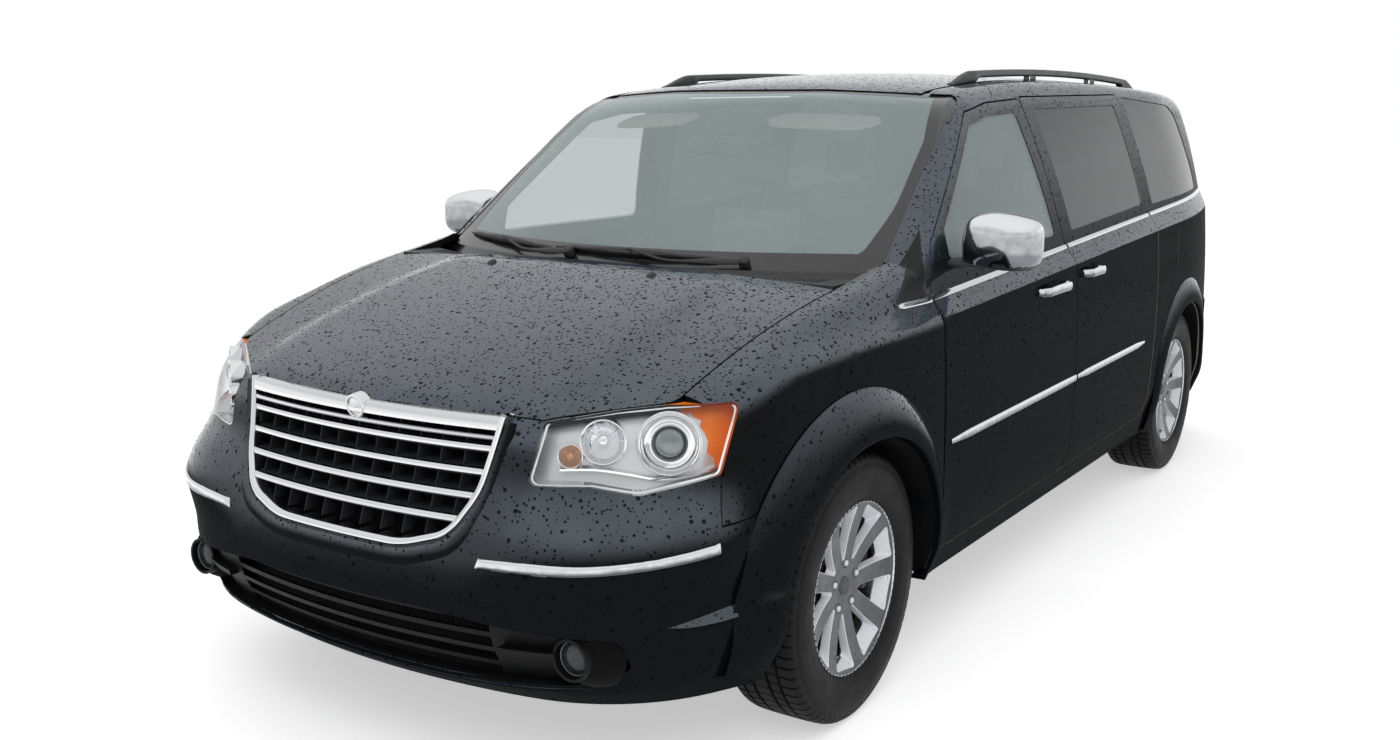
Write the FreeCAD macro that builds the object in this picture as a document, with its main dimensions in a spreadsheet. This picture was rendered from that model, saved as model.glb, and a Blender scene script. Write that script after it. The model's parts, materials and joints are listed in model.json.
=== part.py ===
import FreeCAD, Part
import Sketcher
import math
import os

# Minivan, built as separate panels, doors, glass, seats, running gear and wheels.
# Millimetres. +X is the vehicle's left, -Y its front, +Z up, origin on the ground at mid-length.

Vector = FreeCAD.Vector
doc = FreeCAD.newDocument("Minivan")
sheet = doc.addObject("Spreadsheet::Sheet", "Sizes")

# Driving dimensions
SIZES = [
    ("car_length", 5143),
    ("body_half_width", 968),
    ("roof_height", 1740),
    ("wheelbase", 3078),
    ("front_overhang", 960),
    ("front_track", 1651),
    ("rear_track", 1646),
    ("tyre_radius", 362),
    ("tyre_width", 225),
    ("rim_radius", 232),
    ("rim_barrel_radius", 204),
    ("rim_width", 190),
    ("lug_circle_radius", 63.5),
    ("lug_hole_radius", 8),
    ("spoke_count", 9),
    ("disc_radius", 151),
    ("disc_thickness", 28),
    ("hub_radius", 38),
    ("kingpin_offset", 60),
    ("arch_radius", 408),
    ("rear_arch_radius", 402),
    ("sill_height", 300),
    ("belt_height", 1136),
    ("belt_rise", 0.048),
    ("crease_height", 1072),
    ("crease_rise", 0.04),
    ("belt_half_width", 905),
    ("panel_gap", 5),
    ("side_wall", 55),
    ("roof_wall", 40),
    ("hood_wall", 22),
    ("fender_wall", 22),
    ("bumper_wall", 50),
    ("glass_thickness", 5),
    ("glass_inset", 3),
    ("hood_rear_y", -1525),
    ("door_front_y", -1165),
    ("door_split_y", -22),
    ("slide_rear_y", 985),
    ("tailgate_top_y", 2080),
    ("floor_height", 330),
    ("floor_thickness", 30),
    ("seat_width", 520),
    ("seat_depth", 500),
    ("seat_height", 690),
    ("rail_half_spacing", 585),
]
for row, (alias, value) in enumerate(SIZES, 1):
    sheet.set("A%d" % row, alias)
    sheet.set("B%d" % row, str(value))
    sheet.setAlias("B%d" % row, alias)
doc.recompute()
S = {alias: float(sheet.get(alias)) for alias, value in SIZES}

FRONT_Y = -S["car_length"] / 2
REAR_Y = S["car_length"] / 2
FRONT_AXLE_Y = FRONT_Y + S["front_overhang"]
REAR_AXLE_Y = FRONT_AXLE_Y + S["wheelbase"]
WHEEL_Z = S["tyre_radius"]
GAP = S["panel_gap"]


# Skin of the body, as formulas
def curve(points, t):
    """Smooth monotone curve through a few (t, value) points."""
    if t <= points[0][0]:
        return points[0][1]
    if t >= points[-1][0]:
        return points[-1][1]
    slopes = []
    for (t0, v0), (t1, v1) in zip(points, points[1:]):
        slopes.append((v1 - v0) / (t1 - t0))
    tangents = [slopes[0]]
    for a, b in zip(slopes, slopes[1:]):
        tangents.append(0.0 if a * b <= 0 else 2 * a * b / (a + b))
    tangents.append(slopes[-1])
    for i, ((t0, v0), (t1, v1)) in enumerate(zip(points, points[1:])):
        if t <= t1:
            h = t1 - t0
            u = (t - t0) / h
            start = (1 + 2 * u) * (1 - u) ** 2 * v0 + u * (1 - u) ** 2 * h * tangents[i]
            end = u * u * (3 - 2 * u) * v1 + u * u * (u - 1) * h * tangents[i + 1]
            return start + end


def blend_max(a, b, k):
    """The larger of two distances, rounded where they meet."""
    h = max(k - abs(a - b), 0.0) / k
    return max(a, b) + h * h * k / 4


def smooth_step(t):
    t = min(max(t, 0.0), 1.0)
    return t * t * (3 - 2 * t)


def crease_z(y):
    return S["crease_height"] + S["crease_rise"] * y


def belt_z(y):
    return S["belt_height"] + S["belt_rise"] * y


TUCK_BY_HEIGHT = [(180, 75), (300, 42), (420, 9), (450, 5), (560, 1.5), (660, 0), (800, 3), (960, 10), (1150, 24)]
FLARE_RADIUS = 525
FLARE_HEIGHT = 10
GLASS_LEAN = 0.21
GLASS_BARREL = 0.000195


def plan_taper(y):
    taper = 0.0
    if y < -1200:
        taper += 140 * ((-y - 1200) / 1300) ** 2.2
    if y > 1400:
        taper += 83 * ((y - 1400) / 737) ** 2
    return taper


def flare(y, z):
    bump = 0.0
    for axle_y, lip in ((FRONT_AXLE_Y, S["arch_radius"]), (REAR_AXLE_Y, S["rear_arch_radius"])):
        r = math.hypot(y - axle_y, z - WHEEL_Z)
        u = min(max((FLARE_RADIUS - r) / (FLARE_RADIUS - lip), 0.0), 1.0)
        bump = max(bump, FLARE_HEIGHT * u * u * (3 - 2 * u))
    return bump


def side_x(y, z):
    """Half-width of the body side at a height."""
    crease = crease_z(y)
    belt = belt_z(y)
    at_crease = S["body_half_width"] - curve(TUCK_BY_HEIGHT, crease)
    if z <= crease:
        width = S["body_half_width"] - curve(TUCK_BY_HEIGHT, z)
    elif z <= belt:
        width = at_crease + (S["belt_half_width"] - at_crease) * (z - crease) / (belt - crease)
    else:
        rise = z - belt
        width = S["belt_half_width"] - GLASS_LEAN * rise - GLASS_BARREL * rise * rise
    return width + flare(y, z) - plan_taper(y)


ROOF_TOP_Y = 650
ROOF_CROWN = 8.5e-5


def roof_z(x, y):
    if y < ROOF_TOP_Y:
        drop = 77 * (abs(y - ROOF_TOP_Y) / 1390) ** 2.6
    else:
        drop = 52 * ((y - ROOF_TOP_Y) / 1550) ** 2.2
    return S["roof_height"] - drop - ROOF_CROWN * x * x


SCREEN_BASE_Y = -1480
SCREEN_BASE_Z = 1164
SCREEN_SLOPE = 1.44
SCREEN_BOW = 3.41e-4


def screen_y(x, z):
    return SCREEN_BASE_Y + SCREEN_SLOPE * (z - SCREEN_BASE_Z) + SCREEN_BOW * x * x


HOOD_RIDGE_BY_Y = [(-2420, 480), (-2206, 540), (-1829, 524), (-1525, 505)]
HOOD_RIDGE_HEIGHT = 11
HOOD_RIDGE_WIDTH = 75


def hood_z(x, y):
    ahead = max(-1500 - y, -400.0)
    crown = 22 + 37 * (max(ahead, 0.0) / 685) ** 2.2
    ridge = smooth_step((curve(HOOD_RIDGE_BY_Y, y) + HOOD_RIDGE_WIDTH / 2 - abs(x)) / HOOD_RIDGE_WIDTH)
    ridge *= HOOD_RIDGE_HEIGHT * smooth_step((y + 2480) / 260) * smooth_step((-1500 - y) / 120)
    return 1165 - 0.155 * ahead - 0.00011 * ahead * abs(ahead) - crown * (x / 770) ** 2 + ridge - 4


FRONT_REACH_BY_HEIGHT = [(230, -140), (262, -100), (285, -68), (340, -38), (400, -12), (470, 0), (560, -10),
                         (640, -34), (776, -84), (900, -115), (980, -135)]
FRONT_BOW = 2.2e-4
SHOULDER_BULGE = 34
SHOULDER_Z = 635
LEDGE_STEP = 13
LEDGE_Z = 468


def nose_y(x, z):
    return FRONT_Y - curve(FRONT_REACH_BY_HEIGHT, z) + FRONT_BOW * x * x


TAIL_BY_HEIGHT = [(560, 62), (720, 62), (900, 72), (1120, 102), (1300, 162), (1500, 246), (1680, 340), (1760, 390)]
REAR_BUMPER_BY_HEIGHT = [(220, 60), (300, 18), (420, 2), (560, 0), (640, 8), (700, 30)]
REAR_BOW = 1.6e-4


def tail_y(x, z):
    return REAR_Y - curve(TAIL_BY_HEIGHT, z) - REAR_BOW * x * x


def rear_bumper_y(x, z):
    return REAR_Y - curve(REAR_BUMPER_BY_HEIGHT, z) - REAR_BOW * x * x


SCREEN_NORMAL = math.hypot(1, SCREEN_SLOPE)


def cabin_skin(x, y, z):
    """Below zero inside the cabin shell: sides, windscreen, roof and tail."""
    side = abs(x) - side_x(y, z)
    screen = (screen_y(x, z) - y) / SCREEN_NORMAL
    tail = y - tail_y(x, z)
    ring = blend_max(blend_max(side, screen, 70), tail, 230)
    return blend_max(ring, z - roof_z(x, y), 60)


def shoulder(x, y, z):
    """How far the bumper's corners stand out below the lamps."""
    height = smooth_step(1 - abs(z - SHOULDER_Z) / 150)
    corner = smooth_step((abs(x) - 380) / 300) * smooth_step((-2060 - y) / 180)
    return SHOULDER_BULGE * height * corner


def ledge(y, z):
    """Step that runs from the bumper's corner into the wheel arch's lip."""
    return LEDGE_STEP * smooth_step((LEDGE_Z - z) / 24) * smooth_step((y + 2390) / 220) * smooth_step((z - 240) / 120)


def nose_skin(x, y, z):
    """Below zero inside the front end: sides, bumper face and hood."""
    side = abs(x) - side_x(y, z)
    if y < -1900:
        side -= ledge(y, z)
    ring = blend_max(side, nose_y(x, z) - y, 330) - shoulder(x, y, z)
    return blend_max(ring, z - hood_z(x, y), 60)


def rear_bumper_skin(x, y, z):
    side = abs(x) - side_x(y, z) - 4
    return blend_max(side, y - rear_bumper_y(x, z), 230)


def cast(skin, origin, direction, reach=900.0):
    """Distance from an inside point to the skin."""
    low, high = 0.0, reach
    ox, oy, oz = origin
    dx, dy, dz = direction
    for _ in range(34):
        mid = (low + high) / 2
        if skin(ox + dx * mid, oy + dy * mid, oz + dz * mid) < 0:
            low = mid
        else:
            high = mid
    return low


def heading(turn, lift=0.0):
    """Unit direction: turn from +X towards +Y, then lift towards +Z, in degrees."""
    a = math.radians(turn)
    b = math.radians(lift)
    return (math.cos(a) * math.cos(b), math.sin(a) * math.cos(b), math.sin(b))


def spline_face(points):
    """Bicubic face over a grid of poles."""
    rows, cols = len(points), len(points[0])
    u_knots = list(range(rows - 2))
    v_knots = list(range(cols - 2))
    u_mults = [4] + [1] * (rows - 4) + [4]
    v_mults = [4] + [1] * (cols - 4) + [4]
    surface = Part.BSplineSurface()
    surface.buildFromPolesMultsKnots(points, u_mults, v_mults, u_knots, v_knots, False, False, 3, 3)
    return surface


def thick_patch(skin, rays, wall, inset=0.0):
    """Closed solid between the skin and a second face one wall thickness inside it."""
    outer, inner = [], []
    for line in rays:
        outer_line, inner_line = [], []
        for origin, direction in line:
            far = cast(skin, origin, direction) - inset
            start = Vector(*origin)
            along = Vector(*direction)
            outer_line.append(start + along * far)
            inner_line.append(start + along * (far - wall))
        outer.append(outer_line)
        inner.append(inner_line)
    top = spline_face(outer)
    under = spline_face(inner)
    faces = [top.toShape(), under.toShape()]
    u0, u1, v0, v1 = top.bounds()
    for fixed in (u0, u1):
        faces.append(Part.makeRuledSurface(top.uIso(fixed).toShape(), under.uIso(fixed).toShape()))
    for fixed in (v0, v1):
        faces.append(Part.makeRuledSurface(top.vIso(fixed).toShape(), under.vIso(fixed).toShape()))
    shell = Part.makeShell(faces)
    shell.sewShape()
    solid = Part.makeSolid(Part.Shell(shell.Faces))
    if solid.Volume < 0:
        solid.reverse()
    return solid


def ladder(start, stop, steps):
    return [start + (stop - start) * i / steps for i in range(steps + 1)]


# Outlines, as wires with rounded corners
def rounded_wire(points, radii):
    """Closed wire through corner points, each corner rounded by its own radius."""
    edges = []
    count = len(points)
    trims = []
    for i in range(count):
        before = points[i - 1]
        here = points[i]
        after = points[(i + 1) % count]
        a = (before - here).normalize()
        b = (after - here).normalize()
        radius = radii[i] if isinstance(radii, (list, tuple)) else radii
        if radius <= 0:
            trims.append((here, here, None))
            continue
        half = a.getAngle(b) / 2
        back = radius / math.tan(half)
        bisector = (a + b).normalize()
        centre = here + bisector * (radius / math.sin(half))
        middle = centre - bisector * radius
        trims.append((here + a * back, here + b * back, middle))
    for i in range(count):
        start, stop, middle = trims[i]
        if middle is not None:
            edges.append(Part.Arc(start, middle, stop).toShape())
        following = trims[(i + 1) % count][0]
        if (following - stop).Length > 1e-6:
            edges.append(Part.LineSegment(stop, following).toShape())
    return Part.Wire(edges)


def side_prism(outline, radii, x0, x1):
    """Side-view outline of (y, z) points, extruded between two x."""
    wire = rounded_wire([Vector(x0, y, z) for y, z in outline], radii)
    return Part.Face(wire).extrude(Vector(x1 - x0, 0, 0))


def front_prism(outline, radii, y0, y1):
    """Front-view outline of (x, z) points, extruded between two y."""
    wire = rounded_wire([Vector(x, y0, z) for x, z in outline], radii)
    return Part.Face(wire).extrude(Vector(0, y1 - y0, 0))


def plan_prism(outline, radii, z0, z1):
    """Plan outline of (x, y) points, extruded between two z."""
    wire = rounded_wire([Vector(x, y, z0) for x, y in outline], radii)
    return Part.Face(wire).extrude(Vector(0, 0, z1 - z0))


def grown(outline, margin):
    """Convex outline moved out by a margin, for clearances."""
    count = len(outline)
    area = sum(outline[i - 1][0] * outline[i][1] - outline[i][0] * outline[i - 1][1] for i in range(count))
    side = 1 if area > 0 else -1
    result = []
    for i in range(count):
        ax, ay = outline[i - 1]
        bx, by = outline[i]
        cx, cy = outline[(i + 1) % count]
        n1 = (by - ay, ax - bx)
        n2 = (cy - by, bx - cx)
        l1 = math.hypot(*n1)
        l2 = math.hypot(*n2)
        n1 = (side * n1[0] / l1, side * n1[1] / l1)
        n2 = (side * n2[0] / l2, side * n2[1] / l2)
        bend = 1 + n1[0] * n2[0] + n1[1] * n2[1]
        result.append((bx + margin * (n1[0] + n2[0]) / bend, by + margin * (n1[1] + n2[1]) / bend))
    return result


def cylinder_x(radius, x0, x1, y, z):
    return Part.makeCylinder(radius, x1 - x0, Vector(x0, y, z), Vector(1, 0, 0))


def brick(x0, x1, y0, y1, z0, z1):
    return Part.makeBox(x1 - x0, y1 - y0, z1 - z0, Vector(x0, y0, z0))


def mirrored(shape):
    return shape.mirror(Vector(0, 0, 0), Vector(1, 0, 0))


def solids_of(shape, smallest=1000.0):
    return [piece for piece in shape.Solids if piece.Volume > smallest]


def largest(shape):
    return max(shape.Solids, key=lambda piece: piece.Volume)


NODES = []


def add_piece(name, shape):
    """A sub-part whose shape is worked out from the sheet by the code above it."""
    pieces = solids_of(shape)
    piece = doc.addObject("Part::Feature", name)
    piece.Shape = pieces[0] if len(pieces) == 1 else Part.makeCompound(pieces)
    piece.Label = name
    NODES.append(piece)
    return piece


def add_pair(name, left_shape):
    """Left and right pieces, mirrored across the middle of the vehicle."""
    add_piece(name + "_left", left_shape)
    add_piece(name + "_right", mirrored(left_shape))


# Body side, from sill to roof and from windscreen pillar to tail corner
SIDE_TOP = 1590


def side_row(y, v):
    """Height of a row of poles: 0 to 1 sill to crease, 1 to 2 crease to belt, 2 to 3 belt to roof."""
    low = S["sill_height"] - 40
    if v <= 1:
        return low + (crease_z(y) - low) * v
    if v <= 2:
        return crease_z(y) + (belt_z(y) - crease_z(y)) * (v - 1)
    return belt_z(y) + (SIDE_TOP - belt_z(y)) * (v - 2)


ROWS = [0, 0.05, 0.1, 0.15, 0.19, 0.22, 0.25, 0.3, 0.38, 0.46, 0.54, 0.62, 0.7, 0.78, 0.86, 0.93, 0.975, 1.0,
        1.0, 1.15, 1.5, 1.9, 2.0, 2.0, 2.1, 2.25, 2.4, 2.55, 2.7, 2.85, 3.0]
LIFTS = [10, 20, 30, 40, 50, 60, 70, 80, 88]
PILLAR_TURNS = [-80, -68, -56, -46, -37, -28, -19, -10]
TAIL_TURNS = [8, 17, 26, 35, 44, 53, 62, 71, 80, 89]


def pillar_y(z):
    z = max(z, SCREEN_BASE_Z)
    x = S["belt_half_width"] - GLASS_LEAN * (z - 1090)
    return SCREEN_BASE_Y + SCREEN_SLOPE * (z - SCREEN_BASE_Z) + SCREEN_BOW * x * x + 140


def side_rays():
    lines = []
    stations = [("pillar", turn) for turn in PILLAR_TURNS]
    stations += [("side", part) for part in ladder(0, 1, 36)]
    stations += [("tail", turn) for turn in TAIL_TURNS]
    for kind, value in stations:
        line = []
        for v in ROWS + [3 + lift / 100 for lift in LIFTS]:
            lift = round((v - 3) * 100) if v > 3 else 0
            guess_y = 0.0
            for _ in range(3):
                z = side_row(guess_y, min(v, 3))
                front = pillar_y(z)
                back = tail_y(0, z) - 300
                if kind == "pillar":
                    guess_y = front
                elif kind == "tail":
                    guess_y = back
                else:
                    guess_y = front + (back - front) * value
            turn = value if kind != "side" else 0
            edge = side_x(guess_y, z)
            origin = (edge - (230 if kind == "tail" else 150), guess_y, z)
            line.append((origin, heading(turn, lift)))
        lines.append(line)
    return lines


DOOR_LOW = 338


def front_door_outline():
    y0, y1 = S["door_front_y"], S["door_split_y"] - GAP / 2
    return [(y0, DOOR_LOW), (y1 - 18, DOOR_LOW + 6), (y1, 1100), (y1 - 102, 1632), (-420, 1616), (-600, 1587),
            (-1085, 1215), (y0 + 12, 1080)]


def slide_door_outline():
    y0, y1 = S["door_split_y"] + GAP / 2, S["slide_rear_y"]
    return [(y0 - 18, DOOR_LOW + 6), (y1 - 60, DOOR_LOW + 22), (y1 + 14, 900), (y1 + 18, 1100), (y1 - 42, 1656),
            (y0 - 102, 1638), (y0, 1100)]


def quarter_glass_outline():
    y0 = S["slide_rear_y"]
    return [(y0 + 78, 1215), (1905, 1246), (1880, 1330), (1735, 1575), (1640, 1618), (y0 + 2, 1650)]


def front_glass_outline():
    y1 = S["door_split_y"]
    return [(-985, 1168), (y1 - 82, 1172), (y1 - 178, 1588), (-440, 1578), (-610, 1548), (-985, 1255)]


def slide_glass_outline():
    y0, y1 = S["door_split_y"], S["slide_rear_y"]
    return [(y0 + 85, 1178), (y1 - 55, 1222), (y1 - 118, 1616), (y0 - 8, 1600)]


def tailgate_outline():
    return [(-655, 705), (655, 705), (690, 1130), (672, 1240), (560, 1800), (-560, 1800), (-672, 1240), (-690, 1130)]


def rear_glass_outline():
    return [(-585, 1165), (585, 1165), (500, 1612), (-500, 1612)]


def screen_outline():
    return [(-806, 1150), (806, 1150), (722, 1642), (300, 1662), (-300, 1662), (-722, 1642)]


def hood_outline():
    rear = S["hood_rear_y"]
    return [(-797, rear), (-748, -2188), (-506, -2362), (-300, -2412), (0, -2434), (300, -2412), (506, -2362),
            (748, -2188), (797, rear)]


BUMPER_SEAM_Y = -2206
BUMPER_SEAM_Z = 676
FENDER_REACH_Y = -1955

# Corners of the left lamp on the skin, and the oblique view that it is cut along
LAMP_TURN = -52
LAMP_CORNERS = [(511, -2433, 769), (649, -2381, 773), (745, -2326, 755), (859, -2168, 786), (864, -2097, 944),
                (701, -2224, 938), (515, -2370, 901)]
LAMP_RADII = [14, 120, 90, 16, 14, 300, 14]
TAIL_LAMP_TURN = 48
TAIL_LAMP_CORNERS = [(668, 2470, 790), (905, 2290, 780), (880, 2250, 900), (868, 2225, 1190), (690, 2420, 1196)]


def oblique_prism(corners, turn, radii, near, far):
    """Outline given by corner points on the skin, extruded along a plan direction."""
    dx, dy, dz = heading(turn)
    along = Vector(dx, dy, 0)
    across = Vector(-dy, dx, 0)
    flat = []
    for corner in corners:
        point = Vector(*corner)
        flat.append(across * across.dot(point) + Vector(0, 0, point.z) + along * near)
    return Part.Face(rounded_wire(flat, radii)).extrude(along * (far - near))


def mirror_pair(shape):
    return [shape, mirrored(shape)]


# Side shell and what is cut from it
side_shell = thick_patch(cabin_skin, side_rays(), S["side_wall"])

DOOR_RADII = [3, 25, 60, 25, 80, 60, 60, 60]
SLIDE_RADII = [25, 50, 60, 60, 30, 25, 60]
front_door_cut = side_prism(grown(front_door_outline(), GAP), DOOR_RADII, 560, 1100)
slide_door_cut = side_prism(grown(slide_door_outline(), GAP), SLIDE_RADII, 560, 1100)
front_door_fill = side_prism(front_door_outline(), DOOR_RADII, 560, 1100)
slide_door_fill = side_prism(slide_door_outline(), SLIDE_RADII, 560, 1100)

FIT = 0.3
front_glass_cut = side_prism(front_glass_outline(), 22, 560, 1100)
slide_glass_cut = side_prism(slide_glass_outline(), 22, 560, 1100)
quarter_glass_cut = side_prism(quarter_glass_outline(), [20, 20, 30, 60, 40, 20], 560, 1100)
SCREEN_RADII = [40, 40, 60, 400, 400, 60]
behind_y = SCREEN_BASE_Y + SCREEN_BOW * 760 ** 2 + 70
screen_side = [(-2000, 1100), (behind_y + SCREEN_SLOPE * (1100 - SCREEN_BASE_Z), 1100),
               (behind_y + SCREEN_SLOPE * (1700 - SCREEN_BASE_Z), 1700), (-2000, 1700)]
screen_cut = front_prism(screen_outline(), SCREEN_RADII, -2000, 0)
screen_cut = screen_cut.common(side_prism(screen_side, 0, -1000, 1000))
tail_cut = front_prism(grown(tailgate_outline(), GAP), 30, S["tailgate_top_y"] - GAP, 2700)
GATE_SWING_ROOM = 7
GATE_WAIST_Z = 1200


def gate_outline():
    return [(x - math.copysign(GATE_SWING_ROOM, x), z) if z > GATE_WAIST_Z else (x, z)
            for x, z in tailgate_outline()]


tail_fill = front_prism(gate_outline(), 30, S["tailgate_top_y"], 2700)
rear_glass_cut = front_prism(rear_glass_outline(), 60, 1900, 2700)
lamp_cut = oblique_prism(LAMP_CORNERS, LAMP_TURN, LAMP_RADII, 1500, 3200)
tail_lamp_cut = oblique_prism(TAIL_LAMP_CORNERS, TAIL_LAMP_TURN, 20, 1500, 3200)

BUMPER_REAR_SEAM = [(1880, 160), (2700, 160), (2700, 700), (2300, 752), (2240, 752), (1895, 560)]
rear_bumper_region = side_prism(BUMPER_REAR_SEAM, 0, -1100, 1100)

front_arch = cylinder_x(S["arch_radius"], 500, 1100, FRONT_AXLE_Y, WHEEL_Z)
rear_arch = cylinder_x(S["rear_arch_radius"], 640, 1100, REAR_AXLE_Y, WHEEL_Z)

body_region = side_prism([(S["door_front_y"] + 1, 150), (2700, 150), (2700, 1850), (-800, 1850), (-1420, 1188),
                          (-1262, 1205), (S["door_front_y"] + 1, 1092)], 0, 560, 1100)

body_side = side_shell.common(body_region)
body_side = body_side.cut([front_door_cut, slide_door_cut, quarter_glass_cut, screen_cut, tail_cut,
                           tail_lamp_cut, rear_bumper_region, rear_arch])
roof_edge = brick(0, 600, -1500, 2700, 1600, 1900)
body_side = body_side.cut(roof_edge)
post = brick(840, 905, -1250, -1171, S["sill_height"] + 5, 1040)
post_top = brick(824, 856, -1214, -1171, 1030, 1172)
post_foot = brick(840, 905, -1250, -1130, S["sill_height"] + 5, DOOR_LOW - 8)
post = post.fuse([post_foot, post_top]).cut(front_arch)
hinges = []
for low in (470, 890):
    hinges.append(brick(900, 936, -1250, S["door_front_y"] - FIT, low, low + 60))
slide_y = S["slide_rear_y"]
latch = brick(928, 950, slide_y + 14 + FIT, slide_y + 60, 868, 898)
body_side = body_side.fuse([post, latch] + hinges)
add_pair("body_side", body_side)

front_door = side_shell.common(front_door_fill).cut(front_glass_cut)
add_pair("front_door", front_door)
slide_door = side_shell.common(slide_door_fill).cut(slide_glass_cut)
add_pair("sliding_door", largest(slide_door))

side_glass = thick_patch(cabin_skin, side_rays(), S["glass_thickness"], S["glass_inset"])


def fitted(outline):
    return grown(outline, -FIT)


add_pair("front_door_glass", side_glass.common(side_prism(fitted(front_glass_outline()), 22, 560, 1100)))
slide_pane = side_glass.common(side_prism(fitted(slide_glass_outline()), 22, 560, 1100))
quarter_pane = side_glass.common(side_prism(fitted(quarter_glass_outline()), [20, 20, 30, 60, 40, 20], 560, 1100))
add_piece("rear_side_glass", Part.makeCompound(mirror_pair(slide_pane) + mirror_pair(quarter_pane)))


# Roof and windscreen
def roof_rays():
    lines = []
    for x in ladder(-620, 620, 20):
        line = []
        for y in ladder(-860, 2140, 46):
            line.append(((x, y, 1380), (0, 0, 1)))
        lines.append(line)
    return lines


roof = thick_patch(cabin_skin, roof_rays(), S["roof_wall"])
roof = roof.common(brick(-600, 600, -1100, S["tailgate_top_y"] - GAP, 1300, 1900)).cut(screen_cut)
for x in (-420, 380):
    roof = roof.fuse(brick(x, x + 40, S["tailgate_top_y"] - 60, S["tailgate_top_y"] - FIT, 1660, 1680))
add_piece("roof_panel", roof)


def screen_rays():
    lines = []
    for part in ladder(-1, 1, 22):
        line = []
        for z in ladder(1120, 1690, 20):
            side = side_x(-1000, z) - 40
            line.append(((part * side, pillar_y(z) + 60, z), (0, -1, 0)))
        lines.append(line)
    return lines


SCREEN_INSET = 2
screen = thick_patch(cabin_skin, screen_rays(), S["glass_thickness"] + 1, SCREEN_INSET)
screen = screen.common(front_prism(grown(screen_outline(), -FIT), SCREEN_RADII, -2000, 0))
screen = screen.common(side_prism([(y - FIT, z) for y, z in screen_side], 0, -1000, 1000))
add_piece("windshield", screen)


# Tail
TAIL_LIFTS = [12, 24, 36, 48, 60, 72, 84]


def tail_rays():
    lines = []
    for part in ladder(-1, 1, 24):
        line = []
        for z in ladder(640, 1600, 26):
            x = part * (side_x(2200, z) - 60)
            line.append(((x, tail_y(x, z) - 330, z), (0, 1, 0)))
        for lift in TAIL_LIFTS:
            x = part * (side_x(2200, 1600) - 60)
            a = math.radians(lift)
            line.append(((x, tail_y(x, 1600) - 330, 1600), (0, math.cos(a), math.sin(a))))
        lines.append(line)
    return lines


tail_patch = thick_patch(cabin_skin, tail_rays(), S["side_wall"])
add_piece("tailgate", tail_patch.common(tail_fill).cut(rear_glass_cut))
rear_pane = thick_patch(cabin_skin, tail_rays(), S["glass_thickness"], S["glass_inset"])
add_piece("tailgate_glass", rear_pane.common(front_prism(fitted(rear_glass_outline()), 60, 1900, 2700)))
tail_lamp = side_shell.common(oblique_prism(TAIL_LAMP_CORNERS, TAIL_LAMP_TURN, 20, 1500, 3200)).cut(tail_cut)
tail_lamp = tail_lamp.cut(rear_bumper_region)
add_piece("taillamps", Part.makeCompound(mirror_pair(solids_of(tail_lamp)[0])))


# Both bumpers, cast in plan around their corners
def ring_rays(centre_x, centre_y, side_stop_y, forward, heights):
    """Half ring from the middle of a bumper to the body side, then mirrored to the other side."""
    half = []
    for x in ladder(0, centre_x, 8)[:-1]:
        half.append(((x, centre_y), 90 * forward))
    for turn in ladder(90 * forward, 0, 14):
        half.append(((centre_x, centre_y), turn))
    steps = 5
    for y in ladder(centre_y, side_stop_y, steps)[1:]:
        half.append(((centre_x, y), 0))
    lines = []
    for (x, y), turn in reversed(half[1:]):
        lines.append([((-x, y, z), heading(180 - turn)) for z in heights])
    for (x, y), turn in half:
        lines.append([((x, y, z), heading(turn)) for z in heights])
    return lines


nose_heights = ladder(236, 985, 38)
nose_ring = ring_rays(520, -2080, -1930, -1, nose_heights)
low_heights = ladder(250, 500, 12)
nose_patch = thick_patch(nose_skin, nose_ring, S["bumper_wall"])
hood_cut = plan_prism(grown(hood_outline(), GAP), [10, 60, 12, 0, 0, 0, 12, 60, 10], 700, 1400)
fender_side = side_prism([(BUMPER_SEAM_Y, BUMPER_SEAM_Z), (-1700, BUMPER_SEAM_Z - 10), (-1700, 1300),
                          (BUMPER_SEAM_Y + 40, 1300), (BUMPER_SEAM_Y + 40, BUMPER_SEAM_Z + 105)], 0, -1100, 1100)
front_bumper = nose_patch.cut([hood_cut, fender_side, front_arch, mirrored(front_arch), lamp_cut,
                               mirrored(lamp_cut)])
front_bumper = front_bumper.cut(brick(-1100, 1100, FENDER_REACH_Y, 0, 0, 1300))
front_bumper = front_bumper.cut(brick(-1100, 1100, -3000, 0, 912, 1300))

GRILLE_OUTLINE = [(-215, 602), (215, 602), (345, 640), (402, 735), (438, 912), (-438, 912), (-402, 735), (-345, 640)]
GRILLE_RADII = [300, 300, 110, 200, 8, 8, 200, 110]
INTAKE_OUTLINE = [(-640, 314), (-300, 292), (300, 292), (640, 314), (742, 356), (738, 434), (300, 474), (-300, 474),
                  (-738, 434), (-742, 356)]
INTAKE_RADII = [200, 400, 400, 200, 26, 26, 400, 400, 26, 26]
FOG_X = 645
FOG_Z = 391
FOG_RADIUS = 50
grille_cut = front_prism(GRILLE_OUTLINE, GRILLE_RADII, -2700, -2300)
intake_cut = front_prism(INTAKE_OUTLINE, INTAKE_RADII, -2700, -2200)
front_bumper = largest(front_bumper.cut([grille_cut, intake_cut]))
add_piece("front_bumper", front_bumper)


# Lower grille behind the bumper's wide opening, with a round pod for each fog lamp
def along_y(radius, x, z, y0, y1):
    return Part.makeCylinder(radius, y1 - y0, Vector(x, y0, z), Vector(0, 1, 0))


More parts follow.
